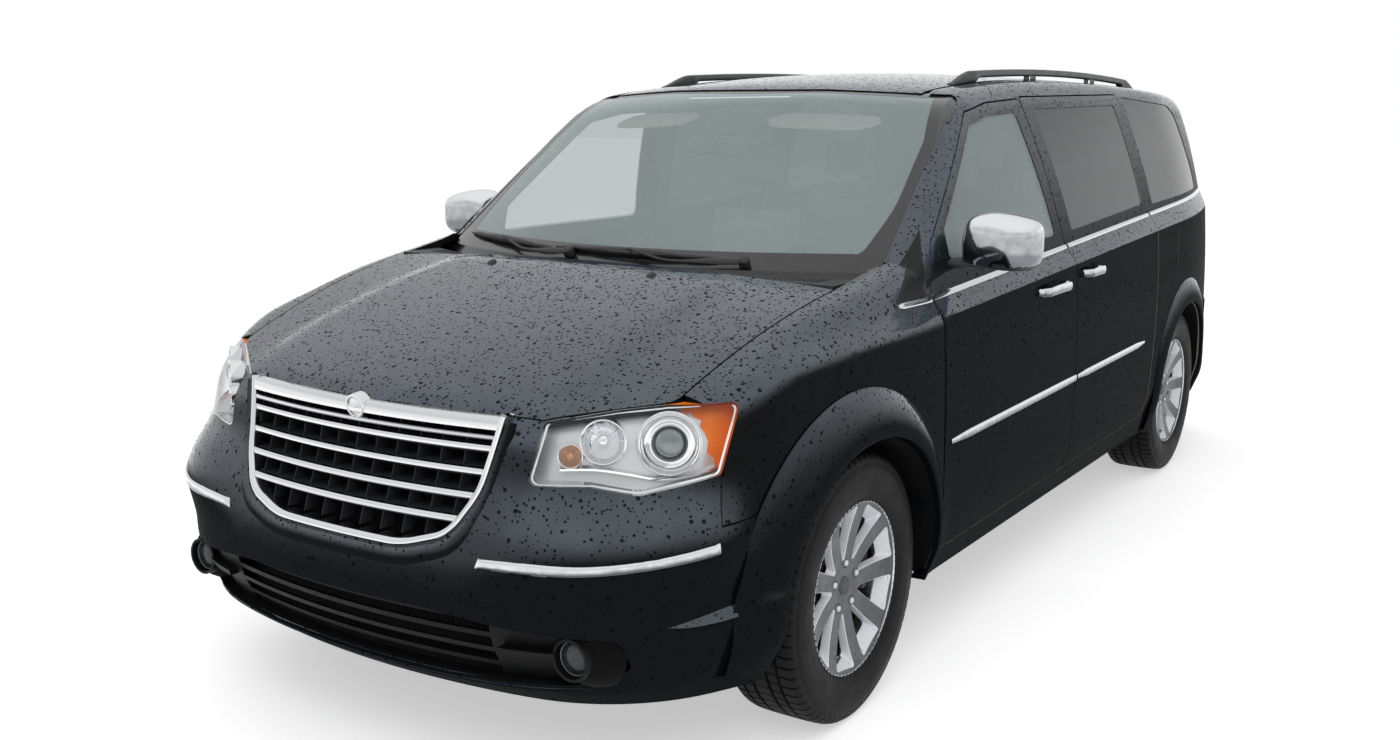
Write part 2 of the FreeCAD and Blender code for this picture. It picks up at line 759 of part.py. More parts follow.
low_ring = ring_rays(520, -2080, -2000, -1, low_heights)
lower_fill = front_prism(grown(INTAKE_OUTLINE, -FIT), INTAKE_RADII, -2700, -2200)
lower_grille = thick_patch(nose_skin, low_ring, 10, 34).common(lower_fill)
LOWER_SLOTS = 4
LOWER_BAR = 13
slot_pitch = 158 / LOWER_SLOTS
for i in range(LOWER_SLOTS):
    low = 306 + i * slot_pitch
    lower_grille = lower_grille.cut(brick(-440, 440, -2700, -2300, low, low + slot_pitch - LOWER_BAR))
blade = thick_patch(nose_skin, low_ring, 30, 8).common(lower_fill)
blades = []
for x0, x1 in ((470, FOG_X - FOG_RADIUS + 6), (FOG_X + FOG_RADIUS - 6, 745)):
    blades.append(blade.common(brick(x0, x1, -2700, -2200, FOG_Z - 8, FOG_Z + 8)))
pod = along_y(FOG_RADIUS, FOG_X, FOG_Z, -2455, -2385).common(lower_fill)
pod_bore = along_y(FOG_RADIUS - 7, FOG_X, FOG_Z, -2600, -2300)
lamp_glass = along_y(FOG_RADIUS - 7 - FIT, FOG_X, FOG_Z, -2438, -2390)
for flip in (lambda shape: shape, mirrored):
    lower_grille = lower_grille.fuse([flip(pod)] + [flip(part) for part in blades]).cut(flip(pod_bore))
add_piece("lower_grille", largest(lower_grille.cut(front_bumper)))
add_piece("fog_lamps", Part.makeCompound(mirror_pair(lamp_glass)))

lamp_wall = 60
lamp_patch = thick_patch(nose_skin, nose_ring, lamp_wall, 1)
lamp = lamp_patch.common(lamp_cut).cut(hood_cut)
add_piece("headlamps", Part.makeCompound(mirror_pair(largest(lamp))))

bumper_ring = ring_rays(600, 2180, 1820, 1, ladder(220, 720, 18))
rear_bumper = thick_patch(rear_bumper_skin, bumper_ring, S["bumper_wall"]).common(rear_bumper_region)
rear_bumper = rear_bumper.cut([rear_arch, mirrored(rear_arch)])
rear_bumper = rear_bumper.cut(brick(-1100, 1100, 1500, 2700, 697, 900))
add_piece("rear_bumper", rear_bumper)


# Grille: frame, bars and dividers that follow the face of the nose
def nose_band(outline, radii, wall, inset):
    patch = thick_patch(nose_skin, ring_rays(440, -2080, -1980, -1, ladder(540, 935, 14)), wall, inset)
    return patch.common(front_prism(outline, radii, -2700, -2300))


grille_frame = nose_band(grown(GRILLE_OUTLINE, -FIT), GRILLE_RADII, 34, 2)
inner_outline = grown(GRILLE_OUTLINE, -26)
INNER_RADII = [270, 270, 90, 170, 6, 6, 170, 90]
grille_frame = grille_frame.cut(front_prism(inner_outline, INNER_RADII, -2700, -2300))
bars = nose_band(grown(GRILLE_OUTLINE, -20), GRILLE_RADII, 16, 8)
slots = []
BAR_COUNT = 4
BAR_HEIGHT = 17
BAR_LOW = 684
BAR_PITCH = 53
for i in range(BAR_COUNT + 1):
    high = BAR_LOW + i * BAR_PITCH
    low = high - BAR_PITCH + BAR_HEIGHT if i else 580
    slots.append(brick(-460, 460, -2700, -2300, low, high if i < BAR_COUNT else 878))
bars = bars.cut(slots)
dividers = nose_band(grown(GRILLE_OUTLINE, -20), GRILLE_RADII, 14, 20)
openings = []
DIVIDER_COUNT = 12
step = 800 / (DIVIDER_COUNT + 1)
for i in range(DIVIDER_COUNT + 1):
    left = -400 + i * step
    openings.append(brick(left + 3, left + step - 3, -2700, -2300, 560, 890))
dividers = dividers.cut(openings)
grille = grille_frame.fuse([bars, dividers]).cut(hood_cut)
add_piece("grille", grille)


# Fenders and hood
def fender_rays():
    lines = []
    for y in ladder(-2262, -1100, 34):
        line = []
        for z in ladder(250, 850, 17):
            line.append(((side_x(y, z) - 200, y, z), (1, 0, 0)))
        x = side_x(y, 850) - 200
        for lift in (5, 10, 15, 20, 25, 30, 35, 40, 46, 54, 62, 70, 78, 86, 94):
            line.append(((x, y, 850), heading(0, lift)))
        lines.append(line)
    return lines


fender = thick_patch(nose_skin, fender_rays(), S["fender_wall"])
fender_region = side_prism([(BUMPER_SEAM_Y + GAP, BUMPER_SEAM_Z + GAP), (FENDER_REACH_Y + GAP, BUMPER_SEAM_Z),
                            (FENDER_REACH_Y + GAP, 300), (S["door_front_y"] - GAP, 300), (S["door_front_y"] - GAP, 1088),
                            (-1268, 1198), (-1420, 1182), (-1434, 1230), (BUMPER_SEAM_Y + 45, 1230),
                            (BUMPER_SEAM_Y + 45, BUMPER_SEAM_Z + 105)], 0, 500, 1100)
fender = fender.common(fender_region).cut([hood_cut, lamp_cut, front_arch])
fender = fender.cut(plan_prism([(0, -1520), (800, -1520), (800, -1330), (830, -1200), (0, -1200)], 0, 700, 1500))
add_pair("fender", fender)


def hood_rays():
    lines = []
    for x in ladder(-830, 830, 44):
        line = []
        for y in ladder(-2445, -1490, 26):
            line.append(((x, y, 780), (0, 0, 1)))
        lines.append(line)
    return lines


hood = thick_patch(nose_skin, hood_rays(), S["hood_wall"])
hood = hood.common(plan_prism(hood_outline(), [10, 60, 12, 0, 0, 0, 12, 60, 10], 700, 1400))
add_piece("hood", hood)


# Parametric primitives, their sizes bound to the sheet by expressions
def bind(piece, **bindings):
    for target, text in bindings.items():
        piece.setExpression(target, text)


def place(piece, x, y, z):
    piece.setExpression("Placement.Base.x", x)
    piece.setExpression("Placement.Base.y", y)
    piece.setExpression("Placement.Base.z", z)


def block(name, length, width, height, x, y, z):
    piece = doc.addObject("Part::Box", name)
    bind(piece, Length=length, Width=width, Height=height)
    place(piece, x, y, z)
    return piece


ALONG_X = FreeCAD.Rotation(Vector(0, 1, 0), 90)
ALONG_Y = FreeCAD.Rotation(Vector(1, 0, 0), -90)
UPRIGHT = FreeCAD.Rotation()


def rod(name, radius, length, x, y, z, turned):
    piece = doc.addObject("Part::Cylinder", name)
    piece.Placement = FreeCAD.Placement(Vector(), turned)
    bind(piece, Radius=radius, Height=length)
    place(piece, x, y, z)
    return piece


def joined(name, pieces):
    whole = doc.addObject("Part::MultiFuse", name)
    whole.Shapes = pieces
    return whole


def cut_from(name, base, tool):
    rest = doc.addObject("Part::Cut", name)
    rest.Base = base
    rest.Tool = tool
    return rest


def mirror_of(name, source):
    twin = doc.addObject("Part::Mirroring", name)
    twin.Source = source
    twin.Normal = Vector(1, 0, 0)
    return twin


def keep(piece, name):
    piece.Label = name
    NODES.append(piece)
    return piece


def revolved_body(name, outline):
    """Body revolved about X: outline points are (x, radius) pairs of expressions."""
    body = doc.addObject("PartDesign::Body", name)
    sketch = body.newObject("Sketcher::SketchObject", name + "_profile")
    plane = [f for f in body.Origin.OriginFeatures if f.Role == "XY_Plane"][0]
    sketch.AttachmentSupport = [(plane, "")]
    sketch.MapMode = "FlatFace"
    count = len(outline)
    corners = []
    for i in range(count):
        a = 2 * math.pi * i / count
        corners.append(Vector(100 * math.cos(a), 300 + 100 * math.sin(a), 0))
    for i in range(count):
        sketch.addGeometry(Part.LineSegment(corners[i], corners[(i + 1) % count]), False)
    for i in range(count):
        sketch.addConstraint(Sketcher.Constraint("Coincident", i, 2, (i + 1) % count, 1))
    for i, (x, radius) in enumerate(outline):
        across = sketch.addConstraint(Sketcher.Constraint("DistanceX", -1, 1, i, 1, 1.0))
        sketch.setExpression("Constraints[%d]" % across, x)
        up = sketch.addConstraint(Sketcher.Constraint("DistanceY", -1, 1, i, 1, 1.0))
        sketch.setExpression("Constraints[%d]" % up, radius)
    turn = body.newObject("PartDesign::Revolution", name + "_turned")
    turn.Profile = sketch
    turn.ReferenceAxis = (sketch, ["H_Axis"])
    turn.Angle = 360
    doc.recompute()
    return body


# Wheels
FRONT_Y_TEXT = "-Sizes.car_length / 2 + Sizes.front_overhang"
REAR_Y_TEXT = FRONT_Y_TEXT + " + Sizes.wheelbase"
WHEELS = {
    "front_left": ("Sizes.front_track / 2", FRONT_Y_TEXT, 0),
    "front_right": ("-Sizes.front_track / 2", FRONT_Y_TEXT, 180),
    "rear_left": ("Sizes.rear_track / 2", REAR_Y_TEXT, 0),
    "rear_right": ("-Sizes.rear_track / 2", REAR_Y_TEXT, 180),
}
RIM = "Sizes.rim_radius"
TYRE = "Sizes.tyre_radius"
HALF_TYRE = "Sizes.tyre_width / 2"
TYRE_HALF_OUTLINE = [(HALF_TYRE, RIM + " + 0.3"), (HALF_TYRE, TYRE + " - 23"), (HALF_TYRE + " * 0.86", TYRE)]


def both_sides(half):
    return half + [("-(%s)" % x, radius) for x, radius in reversed(half)]


def tyre_outline():
    return both_sides(TYRE_HALF_OUTLINE)


HALF_RIM = "Sizes.rim_width / 2"
BARREL = "Sizes.rim_barrel_radius"
RIM_HALF_OUTLINE = [(HALF_RIM + " - 35", BARREL + " + 5"), (HALF_RIM + " - 7", BARREL + " + 12"),
                    (HALF_RIM + " - 2", RIM), (HALF_RIM + " + 3", RIM), (HALF_RIM + " + 4", RIM + " - 6"),
                    (HALF_RIM + " - 5", BARREL), (HALF_RIM + " - 35", BARREL + " - 5")]
FACE_OUTLINE = [("28", "0"), ("28", "Sizes.lug_circle_radius + 14"), (HALF_RIM + " - 37", BARREL + " - 4"),
                (HALF_RIM + " - 12", BARREL + " - 1"), ("66", BARREL + " * 0.6"), ("62", "0")]
DISC_OUTLINE = [("-12", "0"), ("-12", "Sizes.disc_radius"), ("-12 + Sizes.disc_thickness", "Sizes.disc_radius"),
                ("-12 + Sizes.disc_thickness", "Sizes.lug_circle_radius + 12"),
                ("28", "Sizes.lug_circle_radius + 12"), ("28", "0")]


def spoke_openings(name):
    """Pointed openings between the spokes, turned round the wheel's axis."""
    openings = []
    count = int(S["spoke_count"])
    outer = S["rim_barrel_radius"] - 12
    inner = S["lug_circle_radius"] + 22
    spoke = 46
    for i in range(count):
        turn = 2 * math.pi * (i + 0.5) / count
        half_outer = math.pi * outer / count - spoke / 2
        half_inner = math.pi * inner / count - spoke / 2 + 4
        corners = [(inner, -half_inner), (outer, -half_outer), (outer, half_outer), (inner, half_inner)]
        points = []
        for r, side in corners:
            points.append(Vector(0, r * math.cos(turn) - side * math.sin(turn),
                                 r * math.sin(turn) + side * math.cos(turn)))
        openings.append(Part.Face(rounded_wire(points, [3, 12, 12, 3])).extrude(Vector(120, 0, 0)))
    for i in range(5):
        turn = 2 * math.pi * (i + 0.25) / 5
        centre = Vector(50, S["lug_circle_radius"] * math.cos(turn), S["lug_circle_radius"] * math.sin(turn))
        openings.append(Part.makeCylinder(S["lug_hole_radius"] + 6, 30, centre, Vector(1, 0, 0)))
    piece = doc.addObject("Part::Feature", name)
    piece.Shape = Part.makeCompound(openings)
    return piece


def wheel(corner):
    x, y, turned = WHEELS[corner]
    rotation = FreeCAD.Rotation(Vector(0, 0, 1), turned)
    tyre = revolved_body("tyre_body_" + corner, tyre_outline())
    tyre.Placement = FreeCAD.Placement(Vector(), rotation)
    place(tyre, x, y, TYRE)
    keep(tyre, "tyre_" + corner)
    barrel = revolved_body("barrel_" + corner, both_sides(RIM_HALF_OUTLINE))
    face = revolved_body("face_" + corner, FACE_OUTLINE)
    pierced = cut_from("pierced_" + corner, face, spoke_openings("openings_" + corner))
    disc = revolved_body("disc_" + corner, DISC_OUTLINE)
    whole = joined("rim_whole_" + corner, [barrel, pierced, disc])
    whole.Placement = FreeCAD.Placement(Vector(), rotation)
    place(whole, x, y, TYRE)
    keep(whole, "rim_" + corner)


for corner_name in WHEELS:
    wheel(corner_name)


# Running gear
WHEEL_X = "Sizes.front_track / 2"
KINGPIN_X = WHEEL_X + " - Sizes.kingpin_offset"
post_part = rod("knuckle_post", "24", "310", KINGPIN_X, FRONT_Y_TEXT, "212", UPRIGHT)
stub_part = rod("knuckle_stub", "Sizes.hub_radius + 8", "Sizes.kingpin_offset - 12.3 + 40", KINGPIN_X + " - 40",
                FRONT_Y_TEXT, TYRE, ALONG_X)
arm_part = block("knuckle_arm", "36", "150", "24", KINGPIN_X + " - 18", FRONT_Y_TEXT, "280")
caliper_in = block("caliper_inner", "32.5", "60", "150", WHEEL_X + " - 50", FRONT_Y_TEXT + " + 108", TYRE + " - 75")
caliper_bridge = block("caliper_bridge", "88", "26", "120", WHEEL_X + " - 50", FRONT_Y_TEXT + " + 157",
                       TYRE + " - 60")
caliper_out = block("caliper_outer", "11.5", "40", "110", WHEEL_X + " + 21.5", FRONT_Y_TEXT + " + 124", TYRE + " - 55")
caliper_link = block("caliper_link", "30", "130", "60", WHEEL_X + " - 66", FRONT_Y_TEXT + " + 10", TYRE + " - 30")
knuckle = joined("knuckle_whole", [post_part, stub_part, arm_part, caliper_in, caliper_bridge, caliper_out,
                                   caliper_link])
keep(knuckle, "knuckle_left")
keep(mirror_of("knuckle_twin", knuckle), "knuckle_right")

cross = block("subframe_cross", "900", "420", "60", "-450", FRONT_Y_TEXT + " - 130", "200")
arm_left = block("lower_arm_left", KINGPIN_X + " - 440 + 24", "60", "22", "440", FRONT_Y_TEXT + " - 30", "189.7")
arm_root = block("lower_arm_root_left", "110", "260", "22", "440", FRONT_Y_TEXT + " - 60", "200")
arm_pad = rod("lower_arm_pad", "30", "22", KINGPIN_X, FRONT_Y_TEXT, "189.7", UPRIGHT)
frame_post = block("subframe_post", "36", "60", "159.7", "410", FRONT_Y_TEXT + " + 150", "260")
left_parts = [arm_left, arm_root, arm_pad, frame_post]
arm_twins = [mirror_of("arm_twin_%d" % i, piece) for i, piece in enumerate(left_parts)]
keep(joined("subframe_whole", [cross] + left_parts + arm_twins), "front_subframe")

keep(block("engine_block", "760", "430", "590", "-380", FRONT_Y_TEXT + " - 400", "260.3"), "engine")

axle_x = "Sizes.rear_track / 2"
beam = block("beam_cross", axle_x + " * 2 - 300", "110", "76", "-" + axle_x + " + 150", REAR_Y_TEXT + " - 130",
             "258.5")
trail_left = block("trail_left", "60", "560", "70", axle_x + " - 210", REAR_Y_TEXT + " - 500", "259.7")
rear_stub = rod("rear_stub", "Sizes.hub_radius + 6", "210 - 12.3", axle_x + " - 210", REAR_Y_TEXT, TYRE, ALONG_X)
rise_left = block("trail_rise_left", "60", "110", "140", axle_x + " - 210", REAR_Y_TEXT + " - 50", "270")
trail_parts = [trail_left, rear_stub, rise_left]
trail_twins = [mirror_of("trail_twin_%d" % i, piece) for i, piece in enumerate(trail_parts)]
keep(joined("rear_axle_whole", [beam] + trail_parts + trail_twins), "rear_axle")

PIPE_START = FRONT_Y_TEXT + " + 290.3"
MUFFLER_START = REAR_Y_TEXT + " + 240"
pipe = rod("exhaust_pipe", "28", MUFFLER_START + " - (" + PIPE_START + ") + 10", "-180", PIPE_START, "228", ALONG_Y)
muffler = rod("exhaust_muffler", "85", "520", "-200", MUFFLER_START, "275", ALONG_Y)
tail_pipe = rod("exhaust_tail", "24", "240", "-240", MUFFLER_START + " + 510", "260", ALONG_Y)
keep(joined("exhaust_whole", [pipe, muffler, tail_pipe]), "exhaust")
tank = block("tank_block", "600", "900", "130", "60", "-100", "199.7")
keep(tank, "fuel_tank")


# Floor pan: slab, firewall, front rails, wheel tubs and tail panel
def floor_shape():
    low = S["floor_height"]
    wall = S["floor_thickness"]
    high = low + 110
    kick = REAR_AXLE_Y - 330
    slab = brick(-930, 930, -1240, kick + wall, low, low + wall)
    riser = brick(-930, 930, kick, kick + wall, low, high + wall)
    deck = brick(-930, 930, kick, 2420, high, high + wall)
    tail = brick(-700, 700, 2400, 2430, low, 690)
    firewall = brick(-822, 822, -1265, -1240, low, 1090)
    whole = slab.fuse([riser, deck, tail, firewall])
    for x0, x1, radius, axle_y, tub_low in ((645, 940, S["rear_arch_radius"], REAR_AXLE_Y, high + 1),
                                            (490, 915, S["arch_radius"], FRONT_AXLE_Y, low + 1)):
        outer = cylinder_x(radius + 14, x0, x1, axle_y, WHEEL_Z)
        hollow = cylinder_x(radius + 4, x0 + 10, 1100, axle_y, WHEEL_Z)
        tub = outer.common(brick(0, 1000, axle_y - 600, axle_y + 600, tub_low, 1400))
        for flip in (lambda shape: shape, mirrored):
            whole = whole.fuse(flip(tub)).cut(flip(hollow))
    for side in (1, -1):
        rail_x = (430, 490) if side > 0 else (-490, -430)
        whole = whole.fuse(brick(rail_x[0], rail_x[1], -2440, -1240, 420, 520))
    shells = [side_shell, fender, post] + hinges
    return largest(whole.cut(shells + [mirrored(shell) for shell in shells] + [rear_bumper, front_bumper]))


add_piece("floor_pan", floor_shape())

# Dashboard with instrument hood and centre console
DASH_Y = -1239.7
dash_outline = [(DASH_Y, 800), (DASH_Y, 1085), (-1180, 1085), (-1100, 1104), (-955, 1082), (-905, 1020), (-932, 905),
                (-990, 800)]
dash = side_prism(dash_outline, [1, 10, 30, 60, 40, 40, 60, 20], -738, 738)
hood_over_dials = side_prism([(-1150, 1070), (-1050, 1138), (-948, 1132), (-925, 1060), (-960, 1000)],
                             [10, 30, 14, 14, 10], 195, 555)
stack = side_prism([(-1000, 700), (-930, 1010), (-885, 990), (-880, 860), (-830, 700)], [5, 5, 20, 40, 5], -175, 175)
FLOOR_Z = S["floor_height"] + S["floor_thickness"]
console = side_prism([(-990, FLOOR_Z + FIT), (-990, 760), (-840, 720), (-700, 600), (-60, 590), (-40, FLOOR_Z + FIT)],
                     [1, 5, 40, 60, 40, 5], -105, 105)
add_piece("dashboard", dash.fuse([hood_over_dials, stack, console]))


# Seats: profiles in side view, with bolsters at both sides, a head rest on two posts and a foot to the floor
def seat_shape(x0, x1, y, floor_z, rests):
    depth, high = S["seat_depth"], S["seat_height"]
    seat_z = floor_z + 200
    back_y = y + depth
    cushion = [(y, seat_z + 12), (y + 4, seat_z + 118), (y + 60, seat_z + 146), (back_y - 60, seat_z + 126),
               (back_y, seat_z + 90), (back_y, seat_z)]
    back = [(back_y - 64, seat_z + 40), (back_y - 44, seat_z + 190), (back_y + 42, seat_z + high),
            (back_y + 132, seat_z + high - 14), (back_y + 96, seat_z + 240), (back_y + 64, seat_z + 20)]
    seat = side_prism(cushion, [20, 30, 60, 60, 10, 20], x0, x1).fuse(side_prism(back, [20, 80, 40, 40, 80, 20], x0, x1))
    for a, b in ((x0, x0 + 74), (x1 - 74, x1)):
        wing = [(back_y - 84, seat_z + 120), (back_y - 82, seat_z + 300), (back_y - 2, seat_z + high - 130),
                (back_y + 60, seat_z + high - 130), (back_y + 40, seat_z + 120)]
        side_roll = [(y + 40, seat_z + 90), (y + 70, seat_z + 166), (back_y - 90, seat_z + 158), (back_y - 60, seat_z + 90)]
        seat = seat.fuse([side_prism(wing, [20, 60, 40, 15, 20], a, b), side_prism(side_roll, [10, 30, 40, 10], a, b)])
    for x in rests:
        rest = side_prism([(back_y + 20, seat_z + high + 42), (back_y + 34, seat_z + high + 215),
                           (back_y + 120, seat_z + high + 220), (back_y + 142, seat_z + high + 40)],
                          [30, 40, 40, 30], x - 132, x + 132)
        posts = [Part.makeCylinder(7, 120, Vector(x + dx, back_y + 88, seat_z + high - 50)) for dx in (-70, 70)]
        seat = seat.fuse([rest] + posts)
    foot = brick(x0 + 60, x1 - 60, y + 60, back_y - 60, floor_z + FIT, seat_z + 30)
    return seat.fuse(foot)


def seat_pair(inner, y, floor_z):
    outer = inner + S["seat_width"]
    left = seat_shape(inner, outer, y, floor_z, [(inner + outer) / 2])
    return mirror_pair(left)


DECK_Z = FLOOR_Z + 110
add_piece("front_seats", Part.makeCompound(seat_pair(150, -520, FLOOR_Z)))
bench = seat_shape(-580, 580, REAR_AXLE_Y - 260, DECK_Z, [-350, 350])
add_piece("rear_seats", Part.makeCompound(seat_pair(170, 330, FLOOR_Z) + [bench]))

# Steering wheel: rim, hub and column, tilted towards the driver
WHEEL_SPOT = Vector(372, -800, 1010)
WHEEL_TILT = FreeCAD.Rotation(Vector(1, 0, 0), -66)
turned = FreeCAD.Placement(WHEEL_SPOT, WHEEL_TILT)
WHEEL_RADIUS = 183
GRIP_RADIUS = 15
grip = []
for i in range(9):
    a = math.radians(45 * (i % 8) + 22.5)
    grip.append(Vector(WHEEL_RADIUS + GRIP_RADIUS * math.cos(a), 0, GRIP_RADIUS * math.sin(a)))
ring = Part.Face(Part.makePolygon(grip)).revolve(Vector(), Vector(0, 0, 1), 360)
hub = Part.makeCone(58, 74, 45, Vector(0, 0, -50))
arms = [Part.makeBox(180, 34, 16, Vector(0, -17, -14)), Part.makeBox(180, 34, 16, Vector(-180, -17, -14)),
        Part.makeBox(34, 180, 16, Vector(-17, -180, -14))]
column = Part.makeCylinder(26, 260, Vector(0, 0, -300))
steering = ring.fuse([hub, column] + arms)
steering.Placement = turned
add_piece("steering_wheel", largest(steering.cut(dash.fuse(hood_over_dials))))

# Roof rails, cowl, mirrors and the strips that stand on the skin
def rail_shape():
    x = S["rail_half_spacing"]
    points = []
    for y in (-340, 650, 1780):
        points.append(Vector(x, y, roof_z(x, y) + 26))
    line = Part.Arc(*points)
    start = line.tangent(line.FirstParameter)[0]
    section = Part.Wire([Part.Circle(points[0], start, 15).toShape()])
    rail = Part.Wire([line.toShape()]).makePipeShell([section], True, False)
    feet = []
    for y in (-300, 420, 1130, 1740):
        feet.append(Part.makeBox(34, 70, 40, Vector(x - 17, y - 35, roof_z(x, y) - 12)))
    return rail.fuse(feet)


rail = rail_shape()
rail = rail.cut([roof, side_shell])
add_piece("roof_rails", Part.makeCompound(mirror_pair(largest(rail))))

cowl = brick(-790, 790, S["hood_rear_y"] + GAP, -1200, 1090.3, 1140)
cowl = cowl.cut([thick_patch(cabin_skin, screen_rays(), 300, -60), hood])
for x in (-680, 640):
    cowl = cowl.fuse(brick(x, x + 40, S["hood_rear_y"] + FIT, S["hood_rear_y"] + 30, 1120, 1135))
add_piece("cowl", cowl)

# Wipers: two blades and arms that follow the windscreen
def screen_strip(points, width, layer):
    """Strip along a line between two (x, z) points seen from the front, cut from a layer."""
    (x0, z0), (x1, z1) = points
    length = math.hypot(x1 - x0, z1 - z0)
    nx, nz = (z1 - z0) / length * width / 2, (x0 - x1) / length * width / 2
    outline = [(x0 + nx, z0 + nz), (x1 + nx, z1 + nz), (x1 - nx, z1 - nz), (x0 - nx, z0 - nz)]
    return layer.common(front_prism(outline, 0, -2000, 0))


BLADE_REACH = 15
blade_layer = thick_patch(cabin_skin, screen_rays(), BLADE_REACH + SCREEN_INSET - FIT, -BLADE_REACH)
arm_layer = thick_patch(cabin_skin, screen_rays(), 10, -22)
wipers = []
for start, stop in (((-205, 1177), (470, 1167)), ((-700, 1183), (-120, 1168))):
    blade_strip = screen_strip((start, stop), 12, blade_layer)
    arm_stop = (start[0] * 0.35 + stop[0] * 0.65, start[1] * 0.35 + stop[1] * 0.65)
    arm_strip = screen_strip((start, arm_stop), 9, arm_layer)
    wipers += [largest(blade_strip.fuse(arm_strip))]
add_piece("wipers", Part.makeCompound(wipers))

# Door mirrors: rounded housing on an arm that stands on the door
mirror_house = Part.makeBox(150, 96, 172, Vector(985, -985, 1136))
front_edges = [edge for edge in mirror_house.Edges if edge.CenterOfMass.y < -984]
mirror_house = mirror_house.makeFillet(44, front_edges)
rear_edges = [edge for edge in mirror_house.Edges if edge.CenterOfMass.y > -890]
mirror_house = mirror_house.makeFillet(14, rear_edges)
mirror_arm = plan_prism([(850, -990), (880, -1010), (1010, -975), (1010, -905), (880, -905), (850, -920)],
                        [5, 5, 20, 20, 20, 5], 1140, 1176)
mirror_recess = brick(1003, 1119, -897, -880, 1156, 1290)
mirror_glass = brick(1003 + FIT, 1119 - FIT, -897 + FIT, -892, 1156 + FIT, 1290 - FIT)
mirror_house = largest(mirror_house.fuse(mirror_arm).cut([side_shell, mirror_recess]))
add_pair("mirror", Part.makeCompound([mirror_house, mirror_glass]))

# Front spring struts between the lower arms and the wheel tubs
STRUT_X = 632
STRUT_LOW = 212
STRUT_CAP = 34
STRUT_TOP = WHEEL_Z + math.sqrt((S["arch_radius"] + 4) ** 2 - STRUT_CAP ** 2) - FIT
BELLOW_COUNT = 5
BELLOW_PITCH = 48
SPRING_LOW = STRUT_TOP - 24 - BELLOW_COUNT * BELLOW_PITCH


def strut_profile():
    """Half section of damper tube, spring seat, pleated sleeve and top mount, as (radius, z) points."""
    profile = [(0, STRUT_LOW), (22, STRUT_LOW), (22, SPRING_LOW - 12), (34, SPRING_LOW - 12), (34, SPRING_LOW)]
    for i in range(BELLOW_COUNT):
        z = SPRING_LOW + i * BELLOW_PITCH
        profile += [(24, z + 4), (32, z + BELLOW_PITCH / 2), (24, z + BELLOW_PITCH - 4)]
    return profile + [(STRUT_CAP, STRUT_TOP - 20), (STRUT_CAP, STRUT_TOP), (0, STRUT_TOP)]


corners = [Vector(STRUT_X + radius, FRONT_AXLE_Y, z) for radius, z in strut_profile()]
section = Part.Face(Part.makePolygon(corners + corners[:1]))
strut = section.revolve(Vector(STRUT_X, FRONT_AXLE_Y, 0), Vector(0, 0, 1), 360)
add_piece("front_struts", Part.makeCompound(mirror_pair(strut)))

# Check every object and write the pieces
doc.recompute()
for piece in doc.Objects:
    if "Invalid" in piece.State or "Error" in piece.State:
        raise ValueError("object failed: " + piece.Name)
names = [piece.Label for piece in NODES]
if len(set(names)) != len(names):
    raise ValueError("two pieces share a name")
os.makedirs("parts", exist_ok=True)
for piece in NODES:
    shape = piece.Shape
    if shape.isNull() or not shape.isValid() or shape.Volume <= 0:
        raise ValueError("bad shape: " + piece.Label)
for piece in NODES:
    piece.Shape.exportStep("parts/" + piece.Label + ".step")
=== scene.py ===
import bpy
import bmesh
import math
import json
from mathutils import Vector, Matrix
from mathutils.bvhtree import BVHTree

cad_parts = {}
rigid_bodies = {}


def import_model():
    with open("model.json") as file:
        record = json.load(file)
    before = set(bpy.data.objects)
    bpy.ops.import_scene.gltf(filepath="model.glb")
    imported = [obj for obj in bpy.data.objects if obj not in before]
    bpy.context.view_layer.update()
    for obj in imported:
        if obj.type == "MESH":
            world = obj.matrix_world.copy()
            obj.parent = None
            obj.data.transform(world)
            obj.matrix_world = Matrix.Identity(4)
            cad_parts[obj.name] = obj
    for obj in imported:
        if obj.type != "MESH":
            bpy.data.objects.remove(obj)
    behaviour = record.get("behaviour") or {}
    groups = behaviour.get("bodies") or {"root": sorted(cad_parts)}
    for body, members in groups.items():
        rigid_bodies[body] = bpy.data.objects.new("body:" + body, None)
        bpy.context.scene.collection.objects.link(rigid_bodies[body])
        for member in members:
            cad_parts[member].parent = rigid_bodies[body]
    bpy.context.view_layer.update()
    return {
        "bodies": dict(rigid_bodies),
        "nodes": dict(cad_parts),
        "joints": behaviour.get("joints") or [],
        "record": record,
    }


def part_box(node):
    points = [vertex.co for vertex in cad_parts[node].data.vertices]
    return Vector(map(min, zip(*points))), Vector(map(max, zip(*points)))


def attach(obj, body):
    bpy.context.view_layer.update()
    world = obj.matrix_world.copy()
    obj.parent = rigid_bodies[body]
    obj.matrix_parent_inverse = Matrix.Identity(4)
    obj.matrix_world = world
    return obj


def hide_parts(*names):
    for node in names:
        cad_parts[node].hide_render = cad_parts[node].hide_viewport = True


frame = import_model()
NODE = frame["nodes"]
BODY_OF = {}
for body_name, node_names in frame["record"]["behaviour"]["bodies"].items():
    for node_name in node_names:
        BODY_OF[node_name] = body_name

